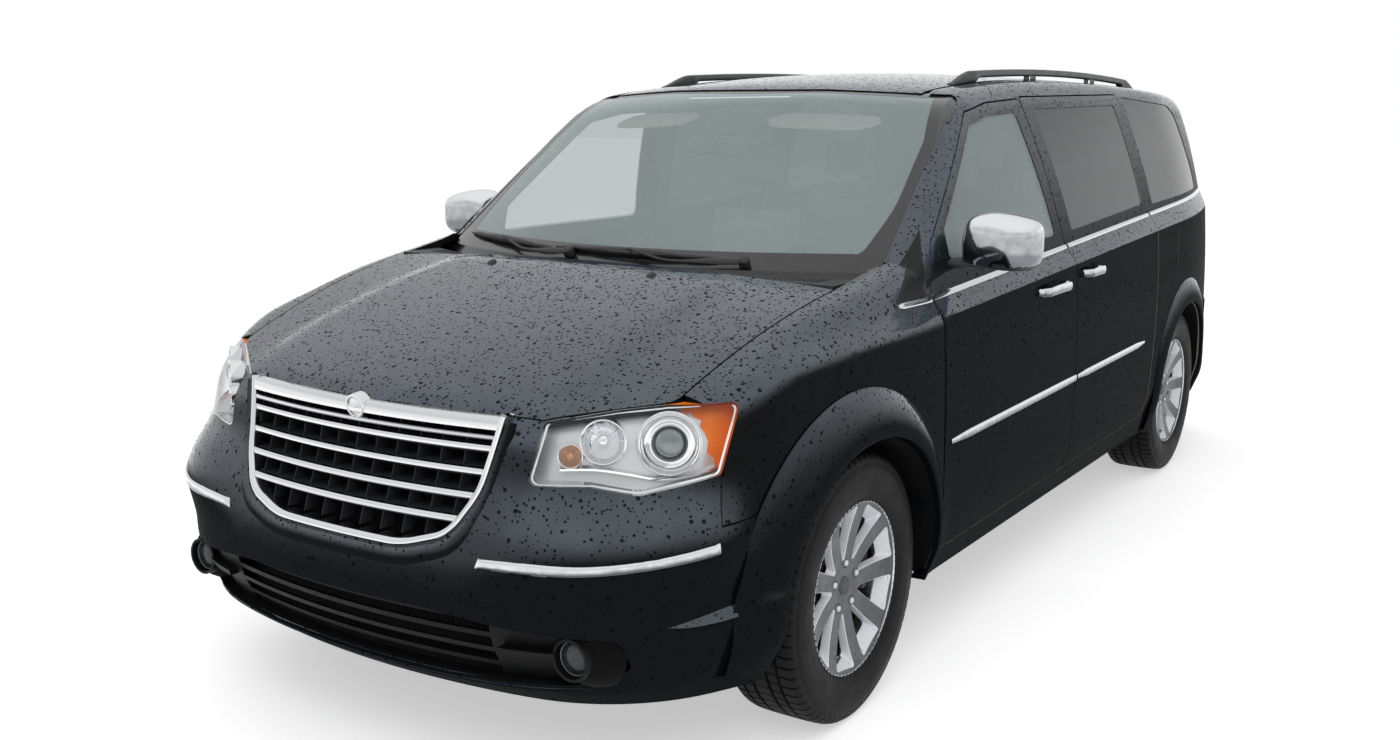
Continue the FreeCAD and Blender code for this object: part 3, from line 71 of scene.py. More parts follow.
# Camera at the photograph's viewing angle
PHOTO_WIDTH = 1400
FOCAL_PIXELS = 1348.59
SENSOR_WIDTH = 36.0
CAMERA_AT = (2.4446, -4.6427, 1.5917)
CAMERA_DOWN, CAMERA_ROLL, CAMERA_TURN = 10.88, -0.08, 33.61
cam_data = bpy.data.cameras.new("camera")
cam = bpy.data.objects.new("camera", cam_data)
bpy.context.scene.collection.objects.link(cam)
cam.location = CAMERA_AT
cam.rotation_euler = (math.radians(90 - CAMERA_DOWN), math.radians(CAMERA_ROLL),
                      math.radians(CAMERA_TURN))
cam_data.sensor_width = SENSOR_WIDTH
cam_data.lens = FOCAL_PIXELS / PHOTO_WIDTH * SENSOR_WIDTH
cam_data.clip_start = 0.05
bpy.context.scene.camera = cam


# Node material helpers
class Mat:
    def __init__(self, name):
        self.m = bpy.data.materials.new(name)
        self.m.use_nodes = True
        self.t = self.m.node_tree
        self.n = self.t.nodes
        self.p = self.n["Principled BSDF"]

    def add(self, kind):
        return self.n.new(kind)

    def link(self, a, b):
        self.t.links.new(a, b)

    def set(self, **values):
        for key, value in values.items():
            self.p.inputs[key.replace("_", " ")].default_value = value

    def coords(self):
        geo = self.n.get("Texture Coordinate") or self.add("ShaderNodeTexCoord")
        return geo.outputs["Object"]

    def noise(self, scale, detail=3.0, rough=0.5):
        node = self.add("ShaderNodeTexNoise")
        node.inputs["Scale"].default_value = scale
        node.inputs["Detail"].default_value = detail
        node.inputs["Roughness"].default_value = rough
        self.link(self.coords(), node.inputs["Vector"])
        return node.outputs["Fac"]

    def voronoi(self, scale):
        node = self.add("ShaderNodeTexVoronoi")
        node.inputs["Scale"].default_value = scale
        self.link(self.coords(), node.inputs["Vector"])
        return node

    def math(self, op, a, b):
        node = self.add("ShaderNodeMath")
        node.operation = op
        for i, v in enumerate((a, b)):
            if isinstance(v, (int, float)):
                node.inputs[i].default_value = v
            else:
                self.link(v, node.inputs[i])
        return node.outputs[0]

    def ramp(self, fac, stops):
        node = self.add("ShaderNodeValToRGB")
        els = node.color_ramp.elements
        while len(els) < len(stops):
            els.new(0.5)
        for el, (pos, col) in zip(els, stops):
            el.position = pos
            el.color = (*col, 1.0) if len(col) == 3 else col
        self.link(fac, node.inputs["Fac"])
        return node.outputs["Color"]

    def mapr(self, fac, a0, a1, b0, b1, smooth=False):
        node = self.add("ShaderNodeMapRange")
        node.interpolation_type = "SMOOTHSTEP" if smooth else "LINEAR"
        for i, v in enumerate((a0, a1, b0, b1)):
            node.inputs[i + 1].default_value = v
        self.link(fac, node.inputs[0])
        return node.outputs[0]

    def bump(self, height, strength, distance):
        node = self.add("ShaderNodeBump")
        node.inputs["Strength"].default_value = strength
        node.inputs["Distance"].default_value = distance
        self.link(height, node.inputs["Height"])
        self.link(node.outputs["Normal"], self.p.inputs["Normal"])
        return node.outputs["Normal"]

    def color(self, socket):
        self.link(socket, self.p.inputs["Base Color"])

    def rough(self, socket):
        self.link(socket, self.p.inputs["Roughness"])

    def mix(self, share, first, second):
        node = self.add("ShaderNodeMix")
        node.data_type = "RGBA"
        self.link(share, node.inputs["Factor"])
        self.link(first, node.inputs[6])
        self.link(second, node.inputs[7])
        return node.outputs[2]

    def upward(self, vector):
        """Z part of a vector."""
        node = self.add("ShaderNodeSeparateXYZ")
        self.link(vector, node.inputs["Vector"])
        return node.outputs["Z"]


def drop_field(mat, scale, radius, density):
    """Height of round water drops, more of them where the surface faces up."""
    cell = mat.voronoi(scale)
    size = mat.add("ShaderNodeSeparateColor")
    mat.link(cell.outputs["Color"], size.inputs["Color"])
    geo = mat.n.get("Geometry") or mat.add("ShaderNodeNewGeometry")
    up = mat.mapr(mat.upward(geo.outputs["Normal"]), 0.0, 0.7, 0.22, 1.0)
    chance = mat.math("MULTIPLY", up, density)
    shown = mat.math("LESS_THAN", size.outputs["Red"], chance)
    reach = mat.mapr(size.outputs["Green"], 0.0, 1.0, radius * 0.45, radius)
    left = mat.math("SUBTRACT", reach, cell.outputs["Distance"])
    shape = mat.mapr(mat.math("DIVIDE", left, reach), 0.0, 0.6, 0.0, 1.0, smooth=True)
    return mat.math("MULTIPLY", shape, shown)


def paint_material(name, inner, inner_rough=0.6):
    """Dark wet clear-coated paint; faces that look inwards carry plain trim instead."""
    m = Mat(name)
    m.set(Metallic=0.0, Coat_Roughness=0.03, Coat_IOR=1.60, Specular_IOR_Level=0.0)
    flake = m.noise(900.0, 2.0, 0.6)
    wash = m.noise(3.0, 3.0)
    tone = m.ramp(m.math("ADD", m.math("MULTIPLY", flake, 0.8), m.math("MULTIPLY", wash, 0.2)),
                  [(0.35, [c * 0.8 for c in PAINT_BLACK]), (0.7, [c * 1.3 for c in PAINT_BLACK])])
    # painted sheen: faces that look up get a lighter grey base colour, standing in for the light of the
    # sky on top of the paint; the larger drops stay dark in it
    tex = m.n["Texture Coordinate"]
    small = drop_field(m, 92.0, 0.44, 0.85)
    large = drop_field(m, 50.0, 0.36, 0.55)
    drops = m.math("MAXIMUM", small, m.math("MULTIPLY", large, 1.5))
    lift = m.upward(tex.outputs["Normal"])
    dry = m.mapr(drops, 0.0, 0.45, 1.0, 0.1)
    painted_top_sheen = m.math("MULTIPLY", m.mapr(lift, 0.15, 0.55, 0.0, 1.0, smooth=True), dry)
    grey = m.ramp(m.noise(14.0, 4.0), [(0.3, (0.036, 0.047, 0.064)), (0.7, (0.054, 0.068, 0.090))])
    tone = m.mix(painted_top_sheen, tone, grey)
    # outward or inward facing, from the place of the face about the middle of the cabin
    away = m.add("ShaderNodeVectorMath")
    away.operation = "SUBTRACT"
    away.inputs[1].default_value = (0.0, 0.0, 0.75)
    m.link(tex.outputs["Object"], away.inputs[0])
    facing = m.add("ShaderNodeVectorMath")
    facing.operation = "DOT_PRODUCT"
    m.link(away.outputs[0], facing.inputs[0])
    m.link(tex.outputs["Normal"], facing.inputs[1])
    outside = m.mapr(facing.outputs["Value"], -0.32, -0.26, 0.0, 1.0)
    grain = m.ramp(m.noise(60.0, 4.0), [(0.3, [c * 0.9 for c in inner]),
                                        (0.7, [min(c * 1.1, 1.0) for c in inner])])
    m.color(m.mix(outside, grain, tone))
    gloss = m.mapr(m.noise(220.0, 2.0), 0.3, 0.7, 0.33, 0.38)
    inside = m.math("MULTIPLY", m.math("SUBTRACT", 1.0, outside), inner_rough)
    m.rough(m.math("ADD", m.math("MULTIPLY", gloss, outside), inside))
    height = m.math("MULTIPLY", drops, outside)
    m.link(m.bump(height, 1.0, 0.0018), m.p.inputs["Coat Normal"])
    wet = m.mapr(lift, 0.10, 0.50, 0.065, 1.0, smooth=True)
    coat = m.math("MULTIPLY", m.mapr(height, 0.0, 0.45, 1.0, 0.12), wet)
    m.link(m.math("MULTIPLY", coat, outside), m.p.inputs["Coat Weight"])
    return m.m


def plain(name, color, rough=0.5, metal=0.0, var=0.15, bump=0.0, scale=300.0, coat=0.0, spec=0.5):
    m = Mat(name)
    m.set(Metallic=metal, Coat_Weight=coat, Specular_IOR_Level=spec)
    m.color(m.ramp(m.noise(scale * 0.1, 4.0), [(0.3, [c * (1 - var) for c in color]),
                                               (0.7, [min(c * (1 + var), 1.0) for c in color])]))
    m.rough(m.mapr(m.noise(scale * 0.05, 3.0), 0.3, 0.7, max(rough - 0.06, 0.02), min(rough + 0.06, 1.0)))
    if bump:
        m.bump(m.noise(scale, 3.0), bump, 0.0008)
    return m.m


def speckled(name, base, flake):
    """Silver metal with a fine speckle of water marks."""
    m = Mat(name)
    m.set(Metallic=0.35)
    cells = m.voronoi(260.0)
    spots = m.mapr(cells.outputs["Distance"], 0.16, 0.30, 1.0, 0.0, smooth=True)
    pick = m.add("ShaderNodeSeparateColor")
    m.link(cells.outputs["Color"], pick.inputs["Color"])
    shown = m.math("MULTIPLY", spots, m.math("LESS_THAN", pick.outputs["Red"], 0.42))
    wash = m.noise(26.0, 4.0)
    tone = m.math("ADD", m.math("MULTIPLY", shown, 0.55), m.math("MULTIPLY", wash, 0.45))
    m.color(m.ramp(tone, [(0.12, base), (0.85, flake)]))
    m.rough(m.mapr(m.noise(90.0, 3.0), 0.3, 0.7, 0.26, 0.42))
    m.bump(shown, 0.5, 0.0008)
    return m.m


def glass_material(name, tint, alpha, drops=0.0, edge=(0.55, 1.0, 0.5), spec=0.5):
    """Thin tinted glass: a coated dark film that lets a share of the light through."""
    m = Mat(name)
    m.set(Roughness=0.02, IOR=1.5, Specular_IOR_Level=spec)
    rim = m.add("ShaderNodeLayerWeight")
    rim.inputs["Blend"].default_value = 0.5
    full = min(1.0, alpha + edge[2])
    m.link(m.mapr(rim.outputs["Facing"], edge[0], edge[1], alpha, full, smooth=True), m.p.inputs["Alpha"])
    m.color(m.ramp(m.noise(2.0, 2.0), [(0.3, [c * 0.9 for c in tint]), (0.7, tint)]))
    if drops:
        m.bump(drop_field(m, 80.0, 0.4, drops), 0.8, 0.002)
    return m.m


PAINT_BLACK = (0.0046, 0.0062, 0.0070)
PAINT = paint_material("black_paint", (0.30, 0.285, 0.25))
PAINT_FRONT = paint_material("black_paint_front", (0.012, 0.012, 0.012), 0.8)


def chrome_material(name, bright, painted_down_shade, turn=(0.22, 0.56)):
    """Bright metal; what faces down is painted darker, as a painted reflection of the dark ground and
    painted shade.
    """
    m = Mat(name)
    m.set(Metallic=1.0)
    m.coords()
    lift = m.upward(m.n["Texture Coordinate"].outputs["Normal"])
    level = m.math("ADD", lift, m.mapr(m.noise(40.0, 3.0), 0.3, 0.7, -0.05, 0.05))
    # painted shade: faces that look down take the darker colour, standing in for the dark ground they
    # reflect
    m.color(m.ramp(m.mapr(level, -0.75, 0.75, 0.0, 1.0), [(turn[0], painted_down_shade), (turn[1], bright)]))
    m.rough(m.mapr(m.noise(15.0, 3.0), 0.3, 0.7, 0.05, 0.11))
    return m.m


# the second colour of each chrome is the painted shade of its down-facing faces
CHROME = chrome_material("chrome", (0.78, 0.79, 0.80), (0.16, 0.165, 0.18))
TRIM_CHROME = chrome_material("trim_chrome", (0.80, 0.81, 0.82), (0.10, 0.105, 0.115), (0.40, 0.68))
MIRROR_CAP = chrome_material("mirror_cap", (0.86, 0.87, 0.88), (0.20, 0.205, 0.22), (0.42, 0.74))
CORNER_BLACK = plain("corner_black", (0.007, 0.007, 0.008), 0.35, bump=0.1, scale=900, spec=0.25)
BLACK = plain("black_plastic", (0.018, 0.018, 0.019), 0.5, bump=0.25, scale=900)
RUBBER = plain("rubber", (0.016, 0.016, 0.016), 0.62, bump=0.15, scale=500)
TYRE = plain("tyre_rubber", (0.011, 0.011, 0.012), 0.55, bump=0.25, scale=400, spec=0.10)
ALLOY = plain("alloy", (0.60, 0.61, 0.62), 0.28, 0.9, 0.05, bump=0.08, scale=1200)
RIM_BRIGHT = plain("rim_bright", (0.66, 0.67, 0.68), 0.16, 1.0, 0.05, bump=0.04, scale=1500)
RIM_FACE = speckled("rim_face", (0.060, 0.062, 0.070), (0.26, 0.27, 0.29))
RIM_POCKET = plain("rim_pocket", (0.84, 0.85, 0.88), 0.38, 0.15, 0.05, bump=0.12, scale=700)
DARK_METAL = plain("dark_metal", (0.075, 0.075, 0.078), 0.45, 0.6, 0.2, bump=0.2, scale=500)
# dark iron of the brake disc, made darker still as painted shade for the view through the spoke windows
DISC = plain("brake_disc", (0.085, 0.082, 0.08), 0.45, 0.7, 0.25, bump=0.3, scale=260)
IRON = plain("cast_iron", (0.16, 0.15, 0.145), 0.55, 0.6, 0.25, bump=0.4, scale=500)
STEEL = plain("chassis_steel", (0.045, 0.045, 0.045), 0.5, 0.2, 0.2, bump=0.2)
GRILLE_GREY = plain("grille_grey", (0.022, 0.023, 0.025), 0.5, 0.0, 0.15, bump=0.2, scale=700, spec=0.2)
GRILLE_DARK = plain("grille_dark", (0.006, 0.0062, 0.0068), 0.5, 0.0, 0.15, bump=0.2, scale=700,
                    spec=0.12)
WELL = plain("dark_well", (0.004, 0.004, 0.004), 0.85, 0.0, 0.2, bump=0.3, scale=300, spec=0.1)
LAMP_SILVER = plain("lamp_silver", (0.70, 0.715, 0.725), 0.26, 0.50, 0.06, bump=0.05, scale=60)
LAMP_CHROME = plain("lamp_chrome", (0.84, 0.85, 0.86), 0.07, 1.0, 0.03)
AMBER = plain("lamp_amber", (0.95, 0.21, 0.006), 0.30, 0.0, 0.12, bump=0.5, scale=260, spec=0.2)
BULB = plain("lamp_bulb", (0.62, 0.30, 0.14), 0.18, 0.2, 0.15, coat=0.8)
PROJECTOR = plain("lamp_projector", (0.22, 0.24, 0.25), 0.05, 0.35, 0.25, coat=1.0)
INTERIOR = plain("interior_plastic", (0.30, 0.285, 0.25), 0.6, bump=0.12, scale=500)
CLOTH = plain("seat_cloth", (0.36, 0.34, 0.30), 0.85, bump=0.2, scale=900)
FLOOR = plain("underseal", (0.03, 0.03, 0.03), 0.8, bump=0.6, scale=200)
RAIL = plain("rail_grey", (0.078, 0.084, 0.086), 0.42, 0.4, 0.08, bump=0.1)
CLEAR = glass_material("clear_glass", (0.52, 0.63, 0.62), 0.29)
DARK = glass_material("privacy_glass", (0.020, 0.024, 0.026), 0.84)
LENS = glass_material("lamp_lens", (0.75, 0.78, 0.79), 0.22)
LAMP_CLEAR = glass_material("lamp_clear", (0.42, 0.45, 0.47), 0.07, drops=0.2, edge=(0.58, 0.92, 0.85),
                            spec=0.3)
FOG_GLASS = glass_material("fog_glass", (0.05, 0.055, 0.06), 0.62)
RED_LENS = plain("red_lens", (0.30, 0.004, 0.004), 0.12, spec=0.25)

ASSIGN = {
    "body_paint": PAINT, "glass_clear": CLEAR, "glass_dark": DARK, "chrome": CHROME,
          "mirror_chrome": MIRROR_CAP,
    "lamp_lens": LENS, "tail_lens": RED_LENS, "tyre": TYRE, "alloy": ALLOY, "cast_iron": IRON,
    "chassis_steel": STEEL, "black_plastic": BLACK, "interior_plastic": INTERIOR, "seat_cloth": CLOTH,
    "floor": FLOOR, "rail_grey": RAIL,
}
NO_TRIM = ("front_bumper", "rear_bumper", "fender_left", "fender_right", "hood")
for sub in frame["record"]["subparts"]:
    obj = NODE[sub["node"]]
    material = PAINT_FRONT if sub["node"] in NO_TRIM else ASSIGN[sub["material_slot"]]
    if sub["node"] == "lower_grille":
        material = GRILLE_DARK
    if not obj.material_slots:
        obj.data.materials.append(material)
    for slot in obj.material_slots:
        slot.material = material

FRIT = plain("screen_frit", (0.010, 0.010, 0.011), 0.25, coat=0.6)
MIRROR_GLASS = plain("mirror_glass", (0.42, 0.44, 0.47), 0.04, 1.0, 0.04)
RAIL_CAP = plain("rail_cap", (0.035, 0.036, 0.038), 0.5, bump=0.25, scale=700)
SEAT_TRIM = plain("seat_trim", (0.060, 0.058, 0.054), 0.55, bump=0.35, scale=900)
WHEEL_GRIP = plain("wheel_grip", (0.035, 0.034, 0.033), 0.48, bump=0.45, scale=1400)
FOG_BEZEL = plain("fog_bezel", (0.10, 0.105, 0.11), 0.25, 0.9, 0.1)
PLATE = plain("blank_plate", (0.62, 0.62, 0.60), 0.45, 0.0, 0.03, bump=0.1, scale=300)
CLEAR_LAMP = plain("clear_lamp", (0.62, 0.63, 0.64), 0.14, 0.2, 0.08, bump=0.4, scale=240, coat=1.0)


# Mesh helpers
def piece(name, verts, faces, mats, body, smooth=40.0, face_mats=None):
    mesh = bpy.data.meshes.new(name)
    mesh.from_pydata([tuple(v) for v in verts], [], faces)
    for m in mats:
        mesh.materials.append(m)
    if face_mats:
        mesh.polygons.foreach_set("material_index", face_mats)
    mesh.polygons.foreach_set("use_smooth", [bool(smooth)] * len(mesh.polygons))
    mesh.update()
    if smooth:
        mesh.set_sharp_from_angle(angle=math.radians(smooth))
    obj = bpy.data.objects.new(name, mesh)
    bpy.context.scene.collection.objects.link(obj)
    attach(obj, body)
    return obj


def turns(n):
    """Even angles round a circle."""
    return [2 * math.pi * k / n for k in range(n)]


def squarish(angle, power, power_up=None):
    """Cosine and sine bent towards a square; a lower power gives squarer corners."""
    ca, sa = math.cos(angle), math.sin(angle)
    return math.copysign(abs(ca) ** power, ca), math.copysign(abs(sa) ** (power_up or power), sa)


SIGN = {"left": 1, "right": -1}


class Build:
    """Collects vertices and faces of many small forms into one mesh."""
    def __init__(self):
        self.v, self.f, self.m = [], [], []

    def add(self, verts, faces, mat=0):
        base = len(self.v)
        self.v += [tuple(p) for p in verts]
        self.f += [tuple(base + i for i in face) for face in faces]
        self.m += [mat] * len(faces)

    def grid(self, rows, mat=0, close_u=False, close_v=False, flip=False):
        nu, nv = len(rows), len(rows[0])
        faces = []
        for i in range(nu if close_u else nu - 1):
            for j in range(nv if close_v else nv - 1):
                a, b = i * nv + j, i * nv + (j + 1) % nv
                c, d = ((i + 1) % nu) * nv + (j + 1) % nv, ((i + 1) % nu) * nv + j
                faces.append((a, d, c, b) if flip else (a, b, c, d))
        self.add([p for row in rows for p in row], faces, mat)

    def close_ends(self, rows, mat=0):
        """One face over the first and one over the last of the rows just added."""
        count = len(rows[0])
        base = len(self.v) - len(rows) * count
        last = base + (len(rows) - 1) * count
        self.f += [tuple(base + k for k in range(count)), tuple(last + k for k in reversed(range(count)))]
        self.m += [mat, mat]

    def bar(self, rows, mat=0, flip=False):
        """Closed bar through loops of points, with both ends closed."""
        self.grid(rows, mat, close_v=True, flip=flip)
        self.close_ends(rows, mat)

    def box(self, lo, hi, mat, bevel):
        (x0, y0, z0), (x1, y1, z1) = lo, hi
        b = bevel
        rings = []
        for z, inset in ((z0, b), (z0 + b, 0), (z1 - b, 0), (z1, b)):
            ring = []
            for cx, cy, sx, sy in ((x0, y0, 1, 1), (x1, y0, -1, 1), (x1, y1, -1, -1), (x0, y1, 1, -1)):
                cuts = (b, 0) if sx * sy > 0 else (0, b)
                for cut_x, cut_y in (cuts, cuts[::-1]):
                    ring.append((cx + sx * (inset + cut_x), cy + sy * (inset + cut_y), z))
            rings.append(ring)
        self.grid(rings, mat, close_v=True, flip=True)
        n, base = len(rings[0]), len(self.v) - len(rings) * len(rings[0])
        self.f += [tuple(base + i for i in reversed(range(n))),
                   tuple(base + (len(rings) - 1) * n + i for i in range(n))]
        self.m += [mat, mat]

    def lathe(self, profile, origin, axis, n, mat):
        """Profile of (along, radius) points turned about an axis."""
        axis = Vector(axis).normalized()
        side = axis.orthogonal().normalized()
        up = axis.cross(side)
        rows = []
        for a in turns(n):
            spoke = side * math.cos(a) + up * math.sin(a)
            rows.append([Vector(origin) + axis * t + spoke * r for t, r in profile])
        self.grid(rows, mat, close_u=True, flip=True)

    def tube(self, path, radius, n, mat, squash=1.0):
        """Tube along a path; radius may be one number or one per point."""
        rows = []
        for i, p in enumerate(path):
            p = Vector(p)
            after, before = Vector(path[min(i + 1, len(path) - 1)]), Vector(path[max(i - 1, 0)])
            t = (after - before).normalized()
            side = t.cross(Vector((0, 0, 1)))
            side = side.normalized() if side.length > 1e-6 else t.orthogonal().normalized()
            top = side.cross(t).normalized()
            r = radius[i] if isinstance(radius, (list, tuple)) else radius
            rows.append([p + side * (r * math.cos(a)) + top * (r * squash * math.sin(a))
                         for a in turns(n)])
        self.bar(rows, mat, flip=True)

    def done(self, name, mats, body, smooth=40.0):
        return piece(name, self.v, self.f, mats, body, smooth, self.m)


def tree_of(names):
    verts, faces = [], []
    for name in names:
        mesh = NODE[name].data
        base = len(verts)
        verts += [v.co.copy() for v in mesh.vertices]
        faces += [[base + i for i in poly.vertices] for poly in mesh.polygons]
    return BVHTree.FromPolygons(verts, faces)


def smoothstep(t):
    t = min(max(t, 0.0), 1.0)
    return t * t * (3 - 2 * t)


def lerp(a, b, t):
    return a + (b - a) * t


OUTSIDE_X = 1.4


def side_x(tree, s, y, z, reach):
    """Width of the first surface met from the side, in millimetres, or zero."""
    hit = tree.ray_cast(Vector((OUTSIDE_X * s, y / 1000, z / 1000)), Vector((-s, 0, 0)), reach)
    return abs(hit[0].x) * 1000 if hit[0] else 0.0


# Wheels: tyre with tread blocks, nine-spoke rim, brake disc
FRONT_AXLE, REAR_AXLE = -1611.5, 1466.5
FX, RX = 0.8255, 0.823
FY, RY, WZ = FRONT_AXLE / 1000, REAR_AXLE / 1000, 0.362
WHEEL_AT = {"front_left": (FX, FY, 1), "front_right": (-FX, FY, -1), "rear_left": (RX, RY, 1),
            "rear_right": (-RX, RY, -1)}

TYRE_PROFILE = [(0.0, 361.2), (19, 361.2), (20.5, 353.5), (27.5, 353.5), (29, 361.2), (40, 361),
                (53, 360.8), (54.5, 353), (60.5, 353), (62, 360.4), (72, 360), (82, 359), (91, 356.5),
                (98, 351.5), (102.5, 344), (104, 338), (104.6, 330), (107.5, 326), (109.5, 316),
                (111.2, 306), (111.8, 296), (112.2, 290), (111.0, 284), (111.2, 274), (109.4, 262),
                (106.5, 251), (103, 243), (100.5, 237), (99.5, 233.2)]
GROOVE_COLS = [(0.0, 0.0), (0.05, 1.0), (0.16, 1.0), (0.21, 0.0), (0.6, 0.0)]
BLOCKS = 70


def make_tyre(corner):
    cx, cy, s = WHEEL_AT[corner]
    b = Build()
    full = [(-a, r) for a, r in reversed(TYRE_PROFILE[1:])] + TYRE_PROFILE
    rows = []
    for k in range(BLOCKS):
        for u, deep in GROOVE_COLS:
            row = []
            for a, r in full:
                out = abs(a)
                cut = 0.0
                if out > 61.9:
                    cut = 6.0 * deep * (1 - smoothstep((out - 98) / 8))
                elif 28.9 < out < 53.1:
                    cut = 2.2 * deep
                elif out < 19.1:
                    cut = 1.6 * deep
                r = r - cut
                slant = 0.0 if out > 104 else 0.00055 * (out - 40)
                rib = 0.5 if (k % 2 == 0 and 316 < r < 331 and out > 104) else 0.0
                ang = 2 * math.pi * (k + u) / BLOCKS + slant
                row.append((cx + s * (a + math.copysign(rib, a)) / 1000, cy + r / 1000 * math.cos(ang),
                            WZ + r / 1000 * math.sin(ang)))
            rows.append(row)
    b.grid(rows, 0, close_u=True, flip=(s > 0))
    tyre = b.done("tyre_tread_" + corner, [TYRE], "wheel_" + corner, 32.0)
    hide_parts("tyre_" + corner)


SPOKES = 9


def dish(r):
    """Height of the wheel's face at a radius, in millimetres out from its middle plane."""
    pts = [(0, 63), (40, 64), (85, 66.5), (125, 70.5), (165, 77), (205, 87), (229, 95.5)]
    for (r0, h0), (r1, h1) in zip(pts, pts[1:]):
        if r <= r1:
            return lerp(h0, h1, (r - r0) / (r1 - r0))
    return pts[-1][1]


def round_quad(corners, radii, per_side, per_corner):
    """Rounded quadrilateral as a loop with the same number of points on each side and corner."""
    loop = []
    n = len(corners)
    arcs = []
    for i in range(n):
        p, q, w = Vector(corners[i - 1]), Vector(corners[i]), Vector(corners[(i + 1) % n])
        a, c = (p - q).normalized(), (w - q).normalized()
        half = a.angle(c) / 2
        back = radii[i] / math.tan(half)
        shares = [k / (per_corner - 1) for k in range(per_corner)]
        arcs.append([(q + a * back * (1 - t)).lerp(q + c * back * t, t) for t in shares])
    for i in range(n):
        loop += arcs[i]
        start, stop = arcs[i][-1], arcs[(i + 1) % n][0]
        loop += [start.lerp(stop, k / per_side) for k in range(1, per_side)]
    return loop


def make_rim(corner):
    cx, cy, s = WHEEL_AT[corner]
    b = Build()

    def at(a, r, ang):
        return (cx + s * a / 1000, cy + r / 1000 * math.cos(ang), WZ + r / 1000 * math.sin(ang))

    def ring(profile, n, mat, flip):
        b.grid([[at(a, r, ang) for a, r in profile] for ang in turns(n)], mat, close_u=True, flip=flip)

    # rim: bright lip, step and barrel
    ring([(97, 232), (98.8, 231.6), (99.2, 230.6), (98.4, 229.6), (96.4, 229), (94.0, 228.4), (92.0, 224),
          (82, 213), (60, 206), (20, 200), (-50, 198.5), (-90, 206), (-95, 222), (-99, 230), (-98, 232),
          (-93, 232), (-88, 217), (-50, 210), (60, 212), (88, 217), (93, 232), (97, 232)], 144, 0, s < 0)
    # face with nine windows between the spokes
    per_side, per_corner = 7, 5
    steps = per_side + per_corner - 1
    shift = per_corner // 2
    pitch = 2 * math.pi / SPOKES

    def opening(near, far, narrow, wide, round_near, round_far):
        corners = [(near, -narrow), (far, -wide), (far, wide), (near, narrow)]
        loop = round_quad(corners, [round_near, round_far, round_far, round_near], per_side, per_corner)
        return loop[shift:] + loop[:shift]

    for k in range(SPOKES):
        mid = pitch * (k + 0.5)
        half = pitch / 2
        inner_r, outer_r = 30.0, 228.8
        fan = [(inner_r, -half), (outer_r, -half), (outer_r, half), (inner_r, half)]
        border = []
        for i in range(4):
            (r0, a0), (r1, a1) = fan[i], fan[(i + 1) % 4]
            border += [(lerp(r0, r1, t / steps), lerp(a0, a1, t / steps)) for t in range(steps)]
        window, back, lip = [opening(*form) for form in (
            (76, 218, 5.5, 52, 2.5, 9), (90, 194, 6.5, 41, 3, 12), (78.5, 216.4, 4.6, 50, 2.2, 9))]

        def polar(loop, drop, depth=None):
            out = []
            for p in loop:
                r = math.hypot(p[0], p[1])
                ang = mid + math.atan2(p[1], p[0])
                out.append(at((dish(r) - drop) if depth is None else depth + 0.12 * (r - 90), r, ang))
            return out

        count = len(window)
        outer = [at(dish(r), r, mid + a) for r, a in border][:count]
        rows = [outer, polar(window, 0.0), polar(lip, 1.4), polar(back, 0, 44.0)]
        b.grid(rows[:2], 1, close_v=True, flip=(s < 0))
        b.grid(rows[1:], 2, close_v=True, flip=(s < 0))
        back_out = [at(30 + 0.12 * max(r - 90, 0), r, mid + a) for r, a in border][:count]
        b.grid([rows[3], back_out], 2, close_v=True, flip=(s < 0))
    # hub cap, nut pockets and nuts
    ring([(67.0, 0.01), (66.8, 8), (66.0, 15), (64.2, 18.6)], 48, 3, s > 0)
    ring([(64.2, 18.6), (66.6, 20), (67.2, 22), (66.4, 24.5), (63.2, 26), (63.4, 30.2)], 48, 1, s > 0)
    for i in range(5):
        ang = 2 * math.pi * (i + 0.25) / 5
        py, pz = 63.5 * math.cos(ang), 63.5 * math.sin(ang)
        centre = (cx, cy + py / 1000, WZ + pz / 1000)
        b.lathe([(0.0645, 0.0150), (0.0662, 0.0140), (0.0664, 0.0128), (0.0650, 0.0118),
                 (0.0648, 0.0001)], centre, (s, 0, 0), 24, 3)
        b.lathe([(0.060, 0.0088), (0.0685, 0.0088), (0.0705, 0.0074), (0.0712, 0.0030), (0.0714, 0.0001)],
                centre, (s, 0, 0), 6, 2)
    # valve
    ang = math.radians(250)
    spot = Vector(at(80, 198, ang))
    inward = (Vector((spot.x, cy, WZ)) - spot).normalized()
    b.tube([spot - inward * 0.004, spot + Vector((s * 0.004, 0, 0)) + inward * 0.008,
            spot + Vector((s * 0.008, 0, 0)) + inward * 0.016],
           0.0042, 10, 3)
    # brake disc with hat; the disc's dark colour is partly painted shade
    disc = [(28, 60), (27, 78), (17, 80), (16, 92), (16, 149), (15, 150.5), (9, 150.5), (8, 149), (8, 95),
            (-4, 95), (-4, 149), (-5, 150.5), (-11, 150.5), (-12, 149), (-12, 60)]
    ring(disc, 96, 4, s > 0)
    rim = b.done("rim_detail_" + corner, [RIM_BRIGHT, RIM_FACE, RIM_POCKET, DARK_METAL, DISC],
                 "wheel_" + corner, 28.0)
    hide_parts("rim_" + corner)


for corner_name in WHEEL_AT:
    make_tyre(corner_name)
    make_rim(corner_name)


